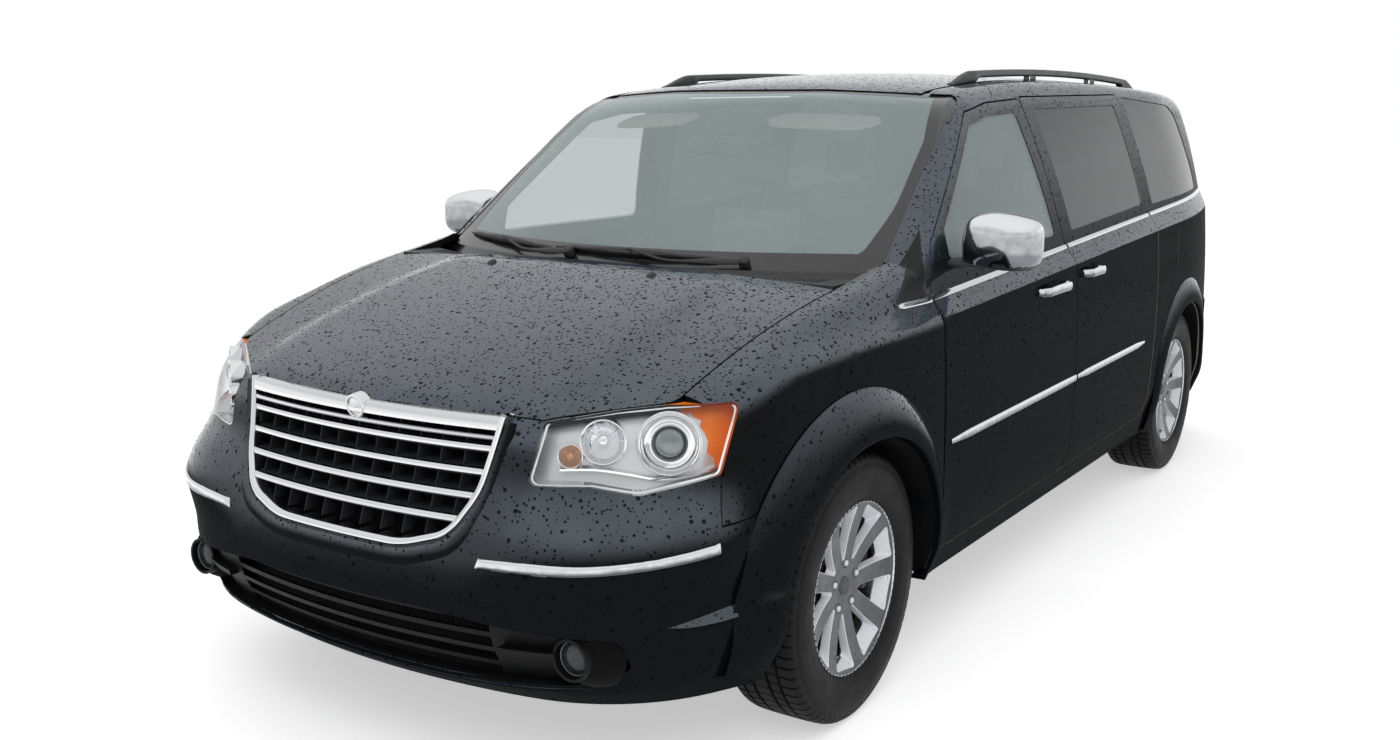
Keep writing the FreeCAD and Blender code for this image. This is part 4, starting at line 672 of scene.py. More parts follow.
# Curves, outlines and bands laid on the panels
def monotone(points, t):
    if t <= points[0][0]:
        return points[0][1]
    if t >= points[-1][0]:
        return points[-1][1]
    slopes = [(v1 - v0) / (t1 - t0) for (t0, v0), (t1, v1) in zip(points, points[1:])]
    inner = [0.0 if a * b <= 0 else 2 * a * b / (a + b) for a, b in zip(slopes, slopes[1:])]
    tangents = [slopes[0]] + inner + [slopes[-1]]
    for i, ((t0, v0), (t1, v1)) in enumerate(zip(points, points[1:])):
        if t <= t1:
            h = t1 - t0
            u = (t - t0) / h
            return ((1 + 2 * u) * (1 - u) ** 2 * v0 + u * (1 - u) ** 2 * h * tangents[i]
                    + u * u * (3 - 2 * u) * v1 + u * u * (u - 1) * h * tangents[i + 1])


NOSE_REACH = [(230, -140), (262, -100), (285, -68), (340, -38), (400, -12), (470, 0), (560, -10),
              (640, -34), (776, -84), (900, -115), (980, -135)]
FRONT_Y = -2571.5


def nose_y(x, z):
    return FRONT_Y - monotone(NOSE_REACH, z) + 2.2e-4 * x * x


def rounded(points, radii, step=6.0, closed=True):
    """Dense 2-D outline with round corners; open outlines keep their first and last point."""
    loop = []
    n = len(points)
    for i in range(n):
        q = Vector(points[i])
        if not closed and i in (0, n - 1):
            loop.append(q)
            continue
        a = (Vector(points[i - 1]) - q).normalized()
        c = (Vector(points[(i + 1) % n]) - q).normalized()
        half = a.angle(c) / 2
        radius = radii[i]
        start = q + a * (radius / math.tan(half))
        centre = q + (a + c).normalized() * (radius / math.sin(half))
        turn = math.pi - 2 * half
        spoke = start - centre
        side = 1 if a.x * c.y - a.y * c.x < 0 else -1
        count = max(int(radius * turn / step), 2)
        for k in range(count + 1):
            ang = side * turn * k / count
            loop.append(centre + Vector((spoke.x * math.cos(ang) - spoke.y * math.sin(ang),
                                         spoke.x * math.sin(ang) + spoke.y * math.cos(ang))))
    out = []
    for i in range(len(loop) if closed else len(loop) - 1):
        p, q = loop[i], loop[(i + 1) % len(loop)]
        parts = max(int((q - p).length / (step * 3)), 1)
        out += [p.lerp(q, k / parts) for k in range(parts)]
    return out if closed else out + [loop[-1]]


def inward_normals(path):
    """Normals of an open (x, z) path that point to the grille's middle."""
    out = []
    for i, p in enumerate(path):
        t = (path[min(i + 1, len(path) - 1)] - path[max(i - 1, 0)]).normalized()
        n = Vector((-t.y, t.x))
        if n.dot(Vector((0, 780)) - p) < 0:
            n = -n
        out.append(n)
    return out


class BuildMM(Build):
    """The same, with its points given in millimetres."""
    def done(self, name, mats, body, smooth=40.0):
        return piece(name, [(x / 1000, y / 1000, z / 1000) for x, y, z in self.v], self.f, mats, body,
                     smooth, self.m)


GRILLE_POINTS = [(-438, 912), (-402, 735), (-345, 640), (-215, 602), (215, 602), (345, 640), (402, 735),
                 (438, 912)]
GRILLE_ROUND = [0, 200, 110, 300, 300, 110, 200, 0]
GRILLE_PATH = rounded(GRILLE_POINTS, GRILLE_ROUND, 6.0, closed=False)


def grille_half(z, inset):
    """Half width of the grille's opening at a height."""
    best = 0.0
    for p, q in zip(GRILLE_PATH, GRILLE_PATH[1:]):
        if min(p.y, q.y) <= z <= max(p.y, q.y) and p.x > 0 and abs(q.y - p.y) > 1e-6:
            best = p.x + (q.x - p.x) * (z - p.y) / (q.y - p.y)
    return best - inset


def nose_trim(b, section, mat):
    """Moulding along the grille's outline; the section is (inward, depth) points."""
    rows = []
    for p, n in zip(GRILLE_PATH, inward_normals(GRILLE_PATH)):
        row = []
        for off, deep in section:
            x, z = p.x + n.x * off, p.y + n.y * off
            row.append((x, nose_y(x, z) + deep, z))
        rows.append(row)
    b.grid(rows, mat)


def make_grille():
    b = BuildMM()
    nose_trim(b, [(0.4, 30), (0.4, 1), (1.2, -2.2), (3.5, -4.6), (7, -5.6), (11, -5.0), (14.5, -2.4),
                  (16.5, 1.5), (17.5, 8), (18.5, 32), (0.4, 30)], 0)
    # thick top bar and the slimmer bar below it
    for low, high, back, front in ((880, 909, 26, -3.4), (858, 869, 26, 0.5)):
        rows = []
        for k in range(61):
            t = k / 30 - 1
            row = []
            for deep, z in ((back, low), (3, low), (front + 1.6, low + 1.2),
                            (front, low + (high - low) * 0.28), (front, (low + high) / 2),
                            (front + 0.4, high - (high - low) * 0.22), (front + 2, high - 1.2), (4, high),
                            (back, high)):
                half = grille_half(min(z, 911), 12 if low < 875 else 1.2)
                x = t * half
                row.append((x, nose_y(x, z) + deep, z))
            rows.append(row)
        b.grid(rows, 0, close_v=True)
    # plain round boss where the bars meet
    spot = (0, nose_y(0, 893), 893)
    b.lathe([(-22, 31), (3.5, 31), (6.2, 29.5), (7.2, 26.5), (6.4, 23.6), (3.6, 22.6), (3.4, 20),
             (4.6, 14), (5.2, 0.01)], spot,
            (0, -1, -0.12), 48, 0)
    # blades: bright front edge over a dark sloping underside
    for z0 in (837, 784, 731, 678):
        rows, under = [], []
        for k in range(61):
            t = k / 30 - 1
            row, low = [], []
            for deep, dz in ((14, 8.5), (6, 8.5), (2.6, 7.6), (1.2, 5), (1.0, 1.5), (2.0, -3.5),
                             (4.6, -6.2), (9, -7.2)):
                half = grille_half(z0 + dz, 9)
                row.append((t * half, nose_y(t * half, z0 + dz) + deep, z0 + dz))
            for deep, dz in ((8.8, -7.2), (20, -13), (46, -22), (60, -24), (60, 10), (13.8, 8.5)):
                half = grille_half(max(z0 + dz, 640), 9)
                low.append((t * half, nose_y(t * half, z0 + dz) + deep, z0 + dz))
            rows.append(row)
            under.append(low)
        b.grid(rows, 0)
        b.grid(under, 1)
    # thin upright dividers behind the blades
    for k in range(13):
        x = -396 + 66 * k
        low = 625
        while low < 880 and grille_half(low, 16) < abs(x) + 2:
            low += 4
        rows = []
        for z in [low + (880 - low) * i / 10 for i in range(11)]:
            y = nose_y(x, z)
            rows.append([(x - 1.2, y + 17, z), (x + 1.2, y + 17, z), (x + 2.6, y + 56, z),
                         (x - 2.6, y + 56, z)])
        b.grid(rows, 1, close_v=True, flip=True)
    # dark well behind
    rows = []
    for i in range(16):
        z = 612 + (908 - 612) * i / 15
        half = grille_half(z, 4)
        rows.append([(t / 8 * half, nose_y(t / 8 * half, z) + 62, z) for t in range(-8, 9)])
    b.grid(rows, 2, flip=True)
    nose_trim(b, [(18.2, 28), (10, 63)], 2)
    grille = b.done("grille_detail", [CHROME, GRILLE_GREY, WELL], BODY_OF["grille"], 35)
    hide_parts("grille")


BAND_SECTION = [(-3, 6), (-3.2, -1.2), (-5, -3.6), (-9, -4.6), (-14, -4.4), (-19, -2.6), (-23, 0.6),
                (-24, 6)]


def make_grille_band():
    """Raised painted moulding that runs round the grille's opening."""
    b = BuildMM()
    points = [(-440, 905), (-402, 735), (-345, 640), (-215, 602), (215, 602), (345, 640), (402, 735),
              (440, 905)]
    path = rounded(points, GRILLE_ROUND, 6.0, closed=False)
    rows = []
    for p, n in zip(path, inward_normals(path)):
        wide = 1.0 + 0.9 * smoothstep((760 - p.y) / 120)
        row = []
        for off, deep in BAND_SECTION:
            x, z = p.x + n.x * off * wide, p.y + n.y * off * wide
            row.append((x, nose_y(x, z) + deep, z))
        rows.append(row)
    b.grid(rows, 0)
    b.done("grille_surround_band", [PAINT], "body", 30)


make_grille()
make_grille_band()


# Bands laid on the skin of named nodes
def smooth_path(points, n):
    """Catmull-Rom curve through 3-D points, n + 1 samples evenly along its length."""
    pts = [Vector(p) for p in points]
    pts = [pts[0] * 2 - pts[1]] + pts + [pts[-1] * 2 - pts[-2]]
    fine = []
    for i in range(1, len(pts) - 2):
        p0, p1, p2, p3 = pts[i - 1:i + 3]
        for k in range(24):
            t = k / 24
            square = 2 * p0 - 5 * p1 + 4 * p2 - p3
            cube = 3 * p1 - p0 - 3 * p2 + p3
            fine.append(0.5 * ((2 * p1) + (p2 - p0) * t + square * t * t + cube * t ** 3))
    fine.append(pts[-2])
    return [polyline_at(fine, k / n) for k in range(n + 1)]


def polyline_at(points, t):
    total = [0.0]
    for a, b in zip(points, points[1:]):
        total.append(total[-1] + (b - a).length)
    want = t * total[-1]
    for i in range(len(points) - 1):
        if want <= total[i + 1] or i == len(points) - 2:
            part = (want - total[i]) / max(total[i + 1] - total[i], 1e-9)
            return points[i].lerp(points[i + 1], min(max(part, 0), 1))


def skin_band(b, tree, top, bottom, rise, n, away):
    """Closed bar on a skin between two lines of points, in millimetres."""
    back, taper = 4.0, 2.5
    rows = []
    tops, lows = smooth_path(top, n), smooth_path(bottom, n)
    for i in range(n + 1):
        a, c = tops[i], lows[i]
        feet = []
        for t in (0.0, 0.12, 0.3, 0.5, 0.7, 0.88, 1.0):
            q = a.lerp(c, t)
            spot, normal, _, _ = tree.find_nearest(q / 1000)
            if normal.dot(Vector(away)) < 0:
                normal = -normal
            feet.append((spot * 1000, normal))
        end = smoothstep(min(i, n - i) / taper + 0.15)
        row = [feet[0][0] - feet[0][1] * back]
        for (spot, normal), high in zip(feet, (0.45, 0.85, 0.95, 1, 0.95, 0.85, 0.45)):
            row.append(spot + normal * (rise * high * end))
        row.append(feet[-1][0] - feet[-1][1] * back)
        rows.append(row)
    b.bar(rows)


def flip_x(points):
    return [(-x, y, z) for x, y, z in points]


BUMPER_TREE = tree_of(["front_bumper"])


def make_bumper_trim():
    for side, turn in (("left", lambda p: p), ("right", flip_x)):
        b = BuildMM()
        top = turn([(432, -2511, 605), (560, -2483, 611), (709, -2439, 619), (820, -2350, 631),
                    (892, -2221, 646)])
        low = turn([(426, -2518, 583), (560, -2488, 588), (710, -2439, 595), (824, -2350, 606),
                    (895, -2220, 621)])
        skin_band(b, BUMPER_TREE, top, low, 7.0, 80, (0, -1, 0))
        b.done("bumper_chrome_" + side, [TRIM_CHROME], "body", 50)


make_bumper_trim()


# Headlamps: clear cover, silver bowl, reflectors, projector and amber corner
def node_faces(node, toward, limit):
    """Copy of a node's faces that look along a direction, as a bmesh in metres."""
    bm = bmesh.new()
    bm.from_mesh(NODE[node].data)
    side = 1 if toward[0] > 0 else -1
    drop = []
    for f in bm.faces:
        if f.normal.dot(Vector(toward)) < limit or f.calc_center_median().x * side < 0.05:
            drop.append(f)
    bmesh.ops.delete(bm, geom=drop, context="FACES")
    bmesh.ops.remove_doubles(bm, verts=bm.verts, dist=0.0002)
    return bm


AMBER_Y, AMBER_TOP, AMBER_SLOPE = -2.205, 0.94, 0.20
BEAD_NEAR, BEAD_FAR, BEAD_SINK = 0.004, 0.010, 0.0035
BEAD_CENTRE = (0.74, -2.27, 0.87)


def amber_at(p):
    """One where the lamp's outer end is amber, else zero."""
    return 1 if p.y > AMBER_Y + AMBER_SLOPE * (AMBER_TOP - p.z) else 0


def make_headlamp(side):
    s = SIGN[side]
    toward = Vector((0.616 * s, -0.788, 0))
    bm = node_faces("headlamps", toward, 0.15)
    mesh = bpy.data.meshes.new("headlamp_cover_" + side)
    bm.to_mesh(mesh)
    mesh.materials.append(LAMP_CLEAR)
    mesh.polygons.foreach_set("use_smooth", [True] * len(mesh.polygons))
    obj = bpy.data.objects.new("headlamp_cover_" + side, mesh)
    bpy.context.scene.collection.objects.link(obj)
    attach(obj, "body")
    # bowl: the same outline set back, with side walls and a chrome bead along the edge
    deep = 0.052
    inward = -toward
    edge = [e for e in bm.edges if len(e.link_faces) == 1]
    b = Build()
    index = {}
    for v in bm.verts:
        index[v] = len(b.v)
        b.v.append(tuple(v.co + inward * deep))
    for f in bm.faces:
        b.f.append(tuple(index[v] for v in f.verts))
        b.m.append(amber_at(f.calc_center_median()))
    for e in edge:
        v0, v1 = e.link_loops[0].vert, e.link_loops[0].link_loop_next.vert
        wall = [v0.co, v1.co, v1.co + inward * deep, v0.co + inward * deep]
        b.add(wall, [(0, 1, 2, 3)], amber_at((v0.co + v1.co) / 2))
    b.done("headlamp_bowl_" + side, [LAMP_SILVER, AMBER], "body", 30)
    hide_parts("headlamps")
    b = Build()
    centre = Vector((BEAD_CENTRE[0] * s, BEAD_CENTRE[1], BEAD_CENTRE[2]))
    for e in edge:
        v0, v1 = e.link_loops[0].vert, e.link_loops[0].link_loop_next.vert
        near, far = [], []
        for v in (v0, v1):
            d = centre - v.co
            d = (d - v.normal * d.dot(v.normal)).normalized()
            near.append(v.co + d * BEAD_NEAR - v.normal * BEAD_SINK)
            far.append(v.co + d * BEAD_FAR - v.normal * BEAD_SINK)
        b.add([near[0], near[1], far[1], far[0]], [(0, 1, 2, 3)])
    b.done("headlamp_bead_" + side, [LAMP_CHROME], "body", 60)
    bm.free()
    # optics
    b = BuildMM()
    look = Vector((0.56 * s, -0.83, 0.05)).normalized()

    def spot(x, y, z, back):
        return Vector((x * s, y, z)) - look * back

    p = spot(780, -2259, 861, 34)
    b.lathe([(-26, 71), (6, 74), (8, 72), (6, 69.5), (-2, 66), (-10, 58), (-13, 50), (-12, 47), (4, 46),
             (8, 44.5), (8.5, 42), (6, 39.5), (-2, 37), (-10, 33)], p, look, 64, 0)
    b.lathe([(-10, 33.2), (2, 32.4), (8, 29.5), (13.5, 23), (17, 14), (18.4, 6), (18.6, 0.01)], p, look,
            48, 1)
    for k in range(3):
        b.lathe([(7.6 - k * 5.2, 68.6 - k * 4.2), (8.6 - k * 5.2, 67.0 - k * 4.2),
                 (6.6 - k * 5.2, 65.6 - k * 4.2)], p, look, 64, 0)
    q = spot(659, -2345, 865, 30)
    b.lathe([(-30, 52), (8, 53), (9.5, 51), (8, 48.5), (-4, 45), (-18, 35), (-27, 20), (-30, 9),
             (-30, 0.01)], q, look, 56, 0)
    b.lathe([(-30, 11), (-6, 10.5), (0, 9), (3, 5), (3.6, 0.01)], q, look, 28, 0)
    for ang in turns(10):
        side_v = look.orthogonal().normalized()
        up_v = look.cross(side_v)
        ray = side_v * math.cos(ang) + up_v * math.sin(ang)
        b.tube([q + ray * 12 - look * 28, q + ray * 30 - look * 20, q + ray * 46 - look * 2], 1.1, 6, 0)
    r = spot(599, -2387, 834, 24)
    b.lathe([(-20, 28), (5, 28.5), (6, 27), (4.6, 25), (-4, 22), (-13, 14), (-17, 0.01)], r, look, 40, 0)
    b.lathe([(-17, 7), (-4, 8.5), (4, 8), (8, 5), (9.4, 0.01)], r, look, 24, 2)
    # stepped shelf under the optics that follows the S-shaped edge
    shelf = [(575, -2395, 800), (640, -2350, 800), (700, -2310, 790), (760, -2262, 776),
             (815, -2205, 782), (850, -2140, 800)]
    rows = []
    for pnt in smooth_path([(x * s, y, z) for x, y, z in shelf], 40):
        rows.append([pnt - look * 12, pnt - look * 12 + Vector((0, 0, 5)),
                     pnt - look * 26 + Vector((0, 0, 9)), pnt - look * 44 + Vector((0, 0, 10))])
    b.grid(rows, 0, flip=(s < 0))
    b.done("headlamp_optics_" + side, [LAMP_CHROME, PROJECTOR, BULB], "body", 40)


for side_name in SIGN:
    make_headlamp(side_name)


# Fog lamps
def make_fog_lamps():
    for side, s in SIGN.items():
        b = BuildMM()
        spot = Vector((645 * s, -2438, 391))
        b.lathe([(-40, 42.2), (-6, 42.2), (0.5, 41.6), (1.6, 39.6), (0.2, 37.6), (-3, 37)], spot,
                (0, -1, 0), 48, 0)
        b.lathe([(-4, 37.2), (-1.2, 34), (1.2, 24), (2.4, 12), (2.8, 0.01)], spot, (0, -1, 0), 48, 1)
        b.lathe([(-10, 36), (-20, 30), (-30, 18), (-34, 8), (-34, 0.01)], spot, (0, -1, 0), 40, 0)
        b.lathe([(-34, 8), (-16, 7.4), (-13, 4), (-12.5, 0.01)], spot, (0, -1, 0), 24, 0)
        b.lathe([(-1.5, 42.3), (-1.2, 44), (-5, 50), (-20, 66), (-48, 82), (-75, 90)], spot,
                (-0.10 * s, -1, 0), 56, 2)
        lamp = b.done("fog_lamp_" + side, [FOG_BEZEL, FOG_GLASS, WELL], "body", 40)
        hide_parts("fog_lamps")


def make_radiator():
    """Dark finned core behind the lower opening."""
    b = BuildMM()
    rows = []
    for i in range(181):
        x = -650 + 1300 * i / 180
        ridge = 3.0 if i % 2 else 0.0
        rows.append([(x, FRONT_Y + 2.2e-4 * x * x + 96 + ridge, z) for z in (288, 350, 420, 486)])
    b.grid(rows, 0, flip=True)
    b.done("radiator_core", [WELL], "body", 20)


make_fog_lamps()
make_radiator()


LIP_LINE = [(0, 292), (150, 292), (290, 293), (430, 299), (590, 308), (680, 315), (740, 330)]
LEDGE_LINE = [(-2318, 454, 456), (-2244, 452, 470), (-2180, 453, 479), (-2128, 455, 482)]


def make_chin_lip():
    """Ledge under the lower opening that catches the light from above."""
    points = [(-x, z) for x, z in reversed(LIP_LINE[1:])] + LIP_LINE
    b = BuildMM()
    rows = []
    path = smooth_path([(x, 0, z) for x, z in points], 120)
    for i, p in enumerate(path):
        hit = BUMPER_TREE.ray_cast(Vector((p.x / 1000, -3.0, (p.z - 9) / 1000)), Vector((0, 1, 0)), 2.0)
        if not hit[0]:
            continue
        y = hit[0].y * 1000
        grow = smoothstep(min(i, 120 - i) / 10)
        rows.append([(p.x, y + 3, p.z - 15), (p.x, y - 4 * grow, p.z - 11), (p.x, y - 5 * grow, p.z - 7),
                     (p.x, y + 5, p.z + grow), (p.x, y + 12, p.z - 1), (p.x, y + 10, p.z - 14)])
    b.grid(rows, 0, close_v=True, flip=True)
    b.done("chin_lip", [PAINT_FRONT], "body", 40)


def make_bumper_ledge(side):
    """Wedge-shaped ledge at the bumper's corner, ahead of the wheel arch."""
    s = SIGN[side]
    low = smooth_path([(0, y, z) for y, z, _ in LEDGE_LINE], 36)
    high = smooth_path([(0, y, z) for y, _, z in LEDGE_LINE], 36)
    b = BuildMM()
    rows = []
    for i, (p, q) in enumerate(zip(low, high)):
        grow = smoothstep(i / 8) * smoothstep((36 - i) / 3)
        x0, x1 = [side_x(BUMPER_TREE, s, v.y, v.z, 0.9) for v in (p, q)]
        if not (x0 and x1):
            continue
        rows.append([(s * (x0 - 4), p.y, p.z - 6), (s * (x0 + 9 * grow), p.y, p.z - 1),
                     (s * (x0 + 10 * grow), p.y, p.z + 2), (s * (x1 + 0.5 * grow), q.y, q.z),
                     (s * (x1 - 5), q.y, q.z - 1)])
    b.grid(rows, 0, close_v=True, flip=(s > 0))
    b.done("bumper_ledge_" + side, [PAINT_FRONT], "body", 40)


make_chin_lip()
for side_name in SIGN:
    make_bumper_ledge(side_name)


# Sides: chrome strips, handles, mirrors, pillar corners
SIDE_TREES = {}
for side_name in SIGN:
    SIDE_TREES[side_name] = tree_of(["body_side_" + side_name, "front_door_" + side_name,
                                     "sliding_door_" + side_name, "fender_" + side_name])


def out_x(side, y, z, spread=9.0):
    """Outermost x of the body's side at a height and length, in millimetres, bridging the panel gaps."""
    return max(side_x(SIDE_TREES[side], SIGN[side], y + dy, z, 0.9) for dy in (0, -spread, spread))


def side_bar(b, side, line, width, rise, n, taper):
    """Raised bar along (y, z) points on the side; width is its height in z."""
    back = 3.0
    s = SIGN[side]
    path = smooth_path([(0, y, z) for y, z in line], n)
    rows = []
    for i, p in enumerate(path):
        t = i / n
        grow = min(1.0, lerp(taper[0], 1.0, t * 8), lerp(taper[1], 1.0, (1 - t) * 8))
        half = width / 2 * grow
        row = []
        profile = ((-1, -back), (-1, rise * 0.4), (-0.86, rise * 0.8), (-0.5, rise), (0.5, rise),
                   (0.86, rise * 0.8), (1, rise * 0.4), (1, -back))
        lows = out_x(side, p.y, p.z - half)
        highs = out_x(side, p.y, p.z + half)
        for v, high in profile:
            x = lerp(lows, highs, (v + 1) / 2) + (high * grow if high > 0 else high)
            row.append((x * s, p.y, p.z + v * half))
        rows.append(row)
    b.bar(rows, 0, flip=(s > 0))


def belt_z(y):
    return 1136 + 0.048 * y


def make_side_strips(side):
    door = "front_door_" + side
    # lower bright strip: front door, sliding door
    for name, y0, y1, body in (("front", -1120, -33, door), ("rear", -11, 822, "body")):
        b = BuildMM()
        z0, z1 = 662.5 + (y0 + 1120) * 0.0079, 662.5 + (y1 + 1120) * 0.0079
        side_bar(b, side, [(lerp(y0, y1, k / 6), lerp(z0, z1, k / 6)) for k in range(7)], 26, 6.5, 48,
                 taper=(0.55, 0.4) if name == "rear" else (0.55, 0.9))
        b.done("side_chrome_%s_%s" % (name, side), [TRIM_CHROME], body, 50)
    # belt strips under the glass
    for name, line, body in (
            ("corner", [(-1368, belt_z(-1368) + 6), (-1290, belt_z(-1290) + 2),
                        (-1176, belt_z(-1176) - 4)], "body"),
            ("door", [(-1154, belt_z(-1154) - 4), (-600, belt_z(-600) - 4), (-33, belt_z(-33) - 4)],
             door),
            ("slide", [(-11, belt_z(-11) - 4), (480, belt_z(480) - 4), (974, belt_z(974) - 4)], "body"),
            ("quarter", [(996, belt_z(996) - 4), (1500, belt_z(1500) - 4), (2010, belt_z(2010) - 4)],
             "body")):
        b = BuildMM()
        side_bar(b, side, line, 15, 4.0, 44, taper=(0.5, 0.9) if name == "corner" else (0.9, 0.9))
        b.done("belt_chrome_%s_%s" % (name, side), [CHROME], body, 50)


def make_handle(side, y0, y1, z, body, name):
    """Bright pull handle on two feet over a dark finger cup."""
    s = SIGN[side]
    b = BuildMM()
    # cup: dark oval patch just proud of the panel under the handle's middle
    rows = []
    cy, half_y, half_z = (y0 + y1) / 2, (y1 - y0) * 0.27, 36
    for i in range(13):
        u = i / 12 * 2 - 1
        row = []
        for j in range(9):
            v = j / 8 * 2 - 1
            k = math.sqrt(max(0.0, 1 - 0.5 * v * v))
            m = math.sqrt(max(0.0, 1 - 0.5 * u * u))
            yy, zz = cy + u * k * half_y, z + v * m * half_z
            edge = max(abs(u), abs(v))
            row.append((s * (out_x(side, yy, zz) + (0.8 if edge < 0.99 else -1.0)), yy, zz))
        rows.append(row)
    b.grid(rows, 1, flip=(s < 0))
    # grip: flattened bar that bows out, resting on the panel at both ends
    path, radii, n = [], [], 28
    for i in range(n + 1):
        t = i / n
        yy = lerp(y0, y1, t)
        stand = 24 * smoothstep(min(t, 1 - t) / 0.17)
        path.append((s * (out_x(side, yy, z) + 2 + stand), yy, z + 3 * math.sin(math.pi * t)))
        radii.append(13.5 + 2.5 * math.sin(math.pi * t))
    rows = []
    for i, p in enumerate(path):
        t = i / n
        flat = 5.0 + 1.0 * math.sin(math.pi * t)
        end = 0.62 + 0.38 * smoothstep(min(t, 1 - t) / 0.07)
        rows.append([(p[0] + s * flat * end * math.cos(a), p[1], p[2] + radii[i] * end * math.sin(a))
                     for a in turns(14)])
    b.bar(rows, 0, flip=(s < 0))
    # feet
    for yy in (y0 + 16, y1 - 16):
        x = out_x(side, yy, z)
        b.lathe([(-4, 15), (6, 14), (14, 11), (18, 6)], (s * x, yy, z), (s, 0, 0), 20, 0)
    # lock button
    if name == "front":
        x = out_x(side, y1 + 4, z)
        b.lathe([(-2, 11), (3.5, 10.5), (5.5, 8), (5.6, 0.01)], (s * x, y1 + 8, z), (s, 0, 0), 24, 0)
    b.done("handle_%s_%s" % (name, side), [TRIM_CHROME, WELL], body, 45)


def make_mirror(side):
    """Mirror head: shell black below and by the glass, bright cap above, black arm, glass in its frame.
    """
    s = SIGN[side]
    b = BuildMM()
    cx, cz = 1021, 1224
    half_x, half_z = 113, 84

    def loop(y, grow):
        out = []
        for a in turns(96):
            px, pz = squarish(a, 0.50)
            drop = 1 - 0.20 * smoothstep((px + 0.25)
                                         / 1.2) if pz > 0 else 1 - 0.06 * smoothstep((0.4 - px) / 1.4)
            lean = 0.12 * px if px < 0 and pz > 0 else 0.0
            out.append((s * (cx + half_x * grow * (px - lean * pz)), y, cz + half_z * grow * pz * drop))
        return out

    # shell from the glass side (rear, y = -889) to the rounded front (y = -985)
    stations = [(-889.5, 0.90), (-889.2, 0.95), (-892, 0.985), (-902, 1.0), (-930, 1.0), (-954, 0.975),
                (-976, 0.92), (-992, 0.84), (-1004, 0.70), (-1010, 0.52), (-1013, 0.30), (-1014, 0.1),
                (-1014.1, 0.001)]
    shells = [loop(y, g) for y, g in stations]
    b.grid(shells, 0, close_v=True, flip=(s < 0))
    # faces below z 1160 and at the glass end are black; the rest of the shell is the bright cap
    for i, face in enumerate(b.f):
        mid = sum((Vector(b.v[k]) for k in face), Vector()) / len(face)
        b.m[i] = 0 if mid.z > 1160 and mid.y < -893 else 1
    # recessed glass and its dark frame
    frame = [loop(-889.5, 0.90), loop(-894.5, 0.885), loop(-895.5, 0.86)]
    b.grid(frame, 1, close_v=True, flip=(s > 0))
    glass = [loop(-895.0, 0.865), loop(-894.6, 0.5), loop(-894.5, 0.02)]
    b.grid(glass, 2, close_v=True, flip=(s > 0))
    # arm down to the door's corner
    arm = []
    for x, y, z, wide, high in ((868, -962, 1157, 44, 15), (905, -962, 1157, 42, 15),
                                (950, -952, 1158, 36, 14), (985, -944, 1158, 32, 14),
                                (1015, -940, 1160, 30, 15)):
        arm.append([(s * x, y + wide * math.cos(a), z + high * math.sin(a)) for a in turns(18)])
    b.grid(arm, 1, close_v=True, flip=(s < 0))
    head = b.done("mirror_head_" + side, [MIRROR_CAP, BLACK, MIRROR_GLASS], "front_door_" + side, 42)
    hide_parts("mirror_" + side)


def make_pillar_corner(side):
    """Black corner between the fender, the front pillar and the front door."""
    s = SIGN[side]
    front = smooth_path([(0, -1372, 1087), (0, -1262, 1150), (0, -1150, 1222), (0, -1096, 1258)], 24)
    back = smooth_path([(0, -1174, 1090), (0, -1166, 1140), (0, -1136, 1200), (0, -1092, 1260)], 24)
    b = BuildMM()
    rows = []
    for f, r in zip(front, back):
        row = []
        for k in range(15):
            p = f.lerp(r, k / 14)
            edge = 0.2 if k in (0, 14) else 1.6
            row.append((s * (out_x(side, p.y, p.z) + edge), p.y, p.z))
        rows.append(row)
    b.grid(rows, 0, flip=(s < 0))
    b.done("pillar_corner_" + side, [CORNER_BLACK], "body", 40)


for side_name in SIGN:
    make_pillar_corner(side_name)
    make_side_strips(side_name)
    make_handle(side_name, -416, -119, 1010, "front_door_" + side_name, "front")
    make_handle(side_name, 38, 235, 1030, "body", "slide")
    make_mirror(side_name)


# Windscreen border and seal, washer nozzles, roof rails
SCREEN_TREE = tree_of(["windshield"])
HOOD_TREE = tree_of(["hood"])
FRAME_TREE = tree_of(["roof_panel", "body_side_left", "body_side_right"])
JOINT_TREE = tree_of(["roof_panel", "body_side_left", "body_side_right", "cowl"])


BORDER_COUNT = 260
SEAL_DEPTHS = (0.004, 0.010, 0.018, 0.026)
SEAL_SEARCH = 0.06


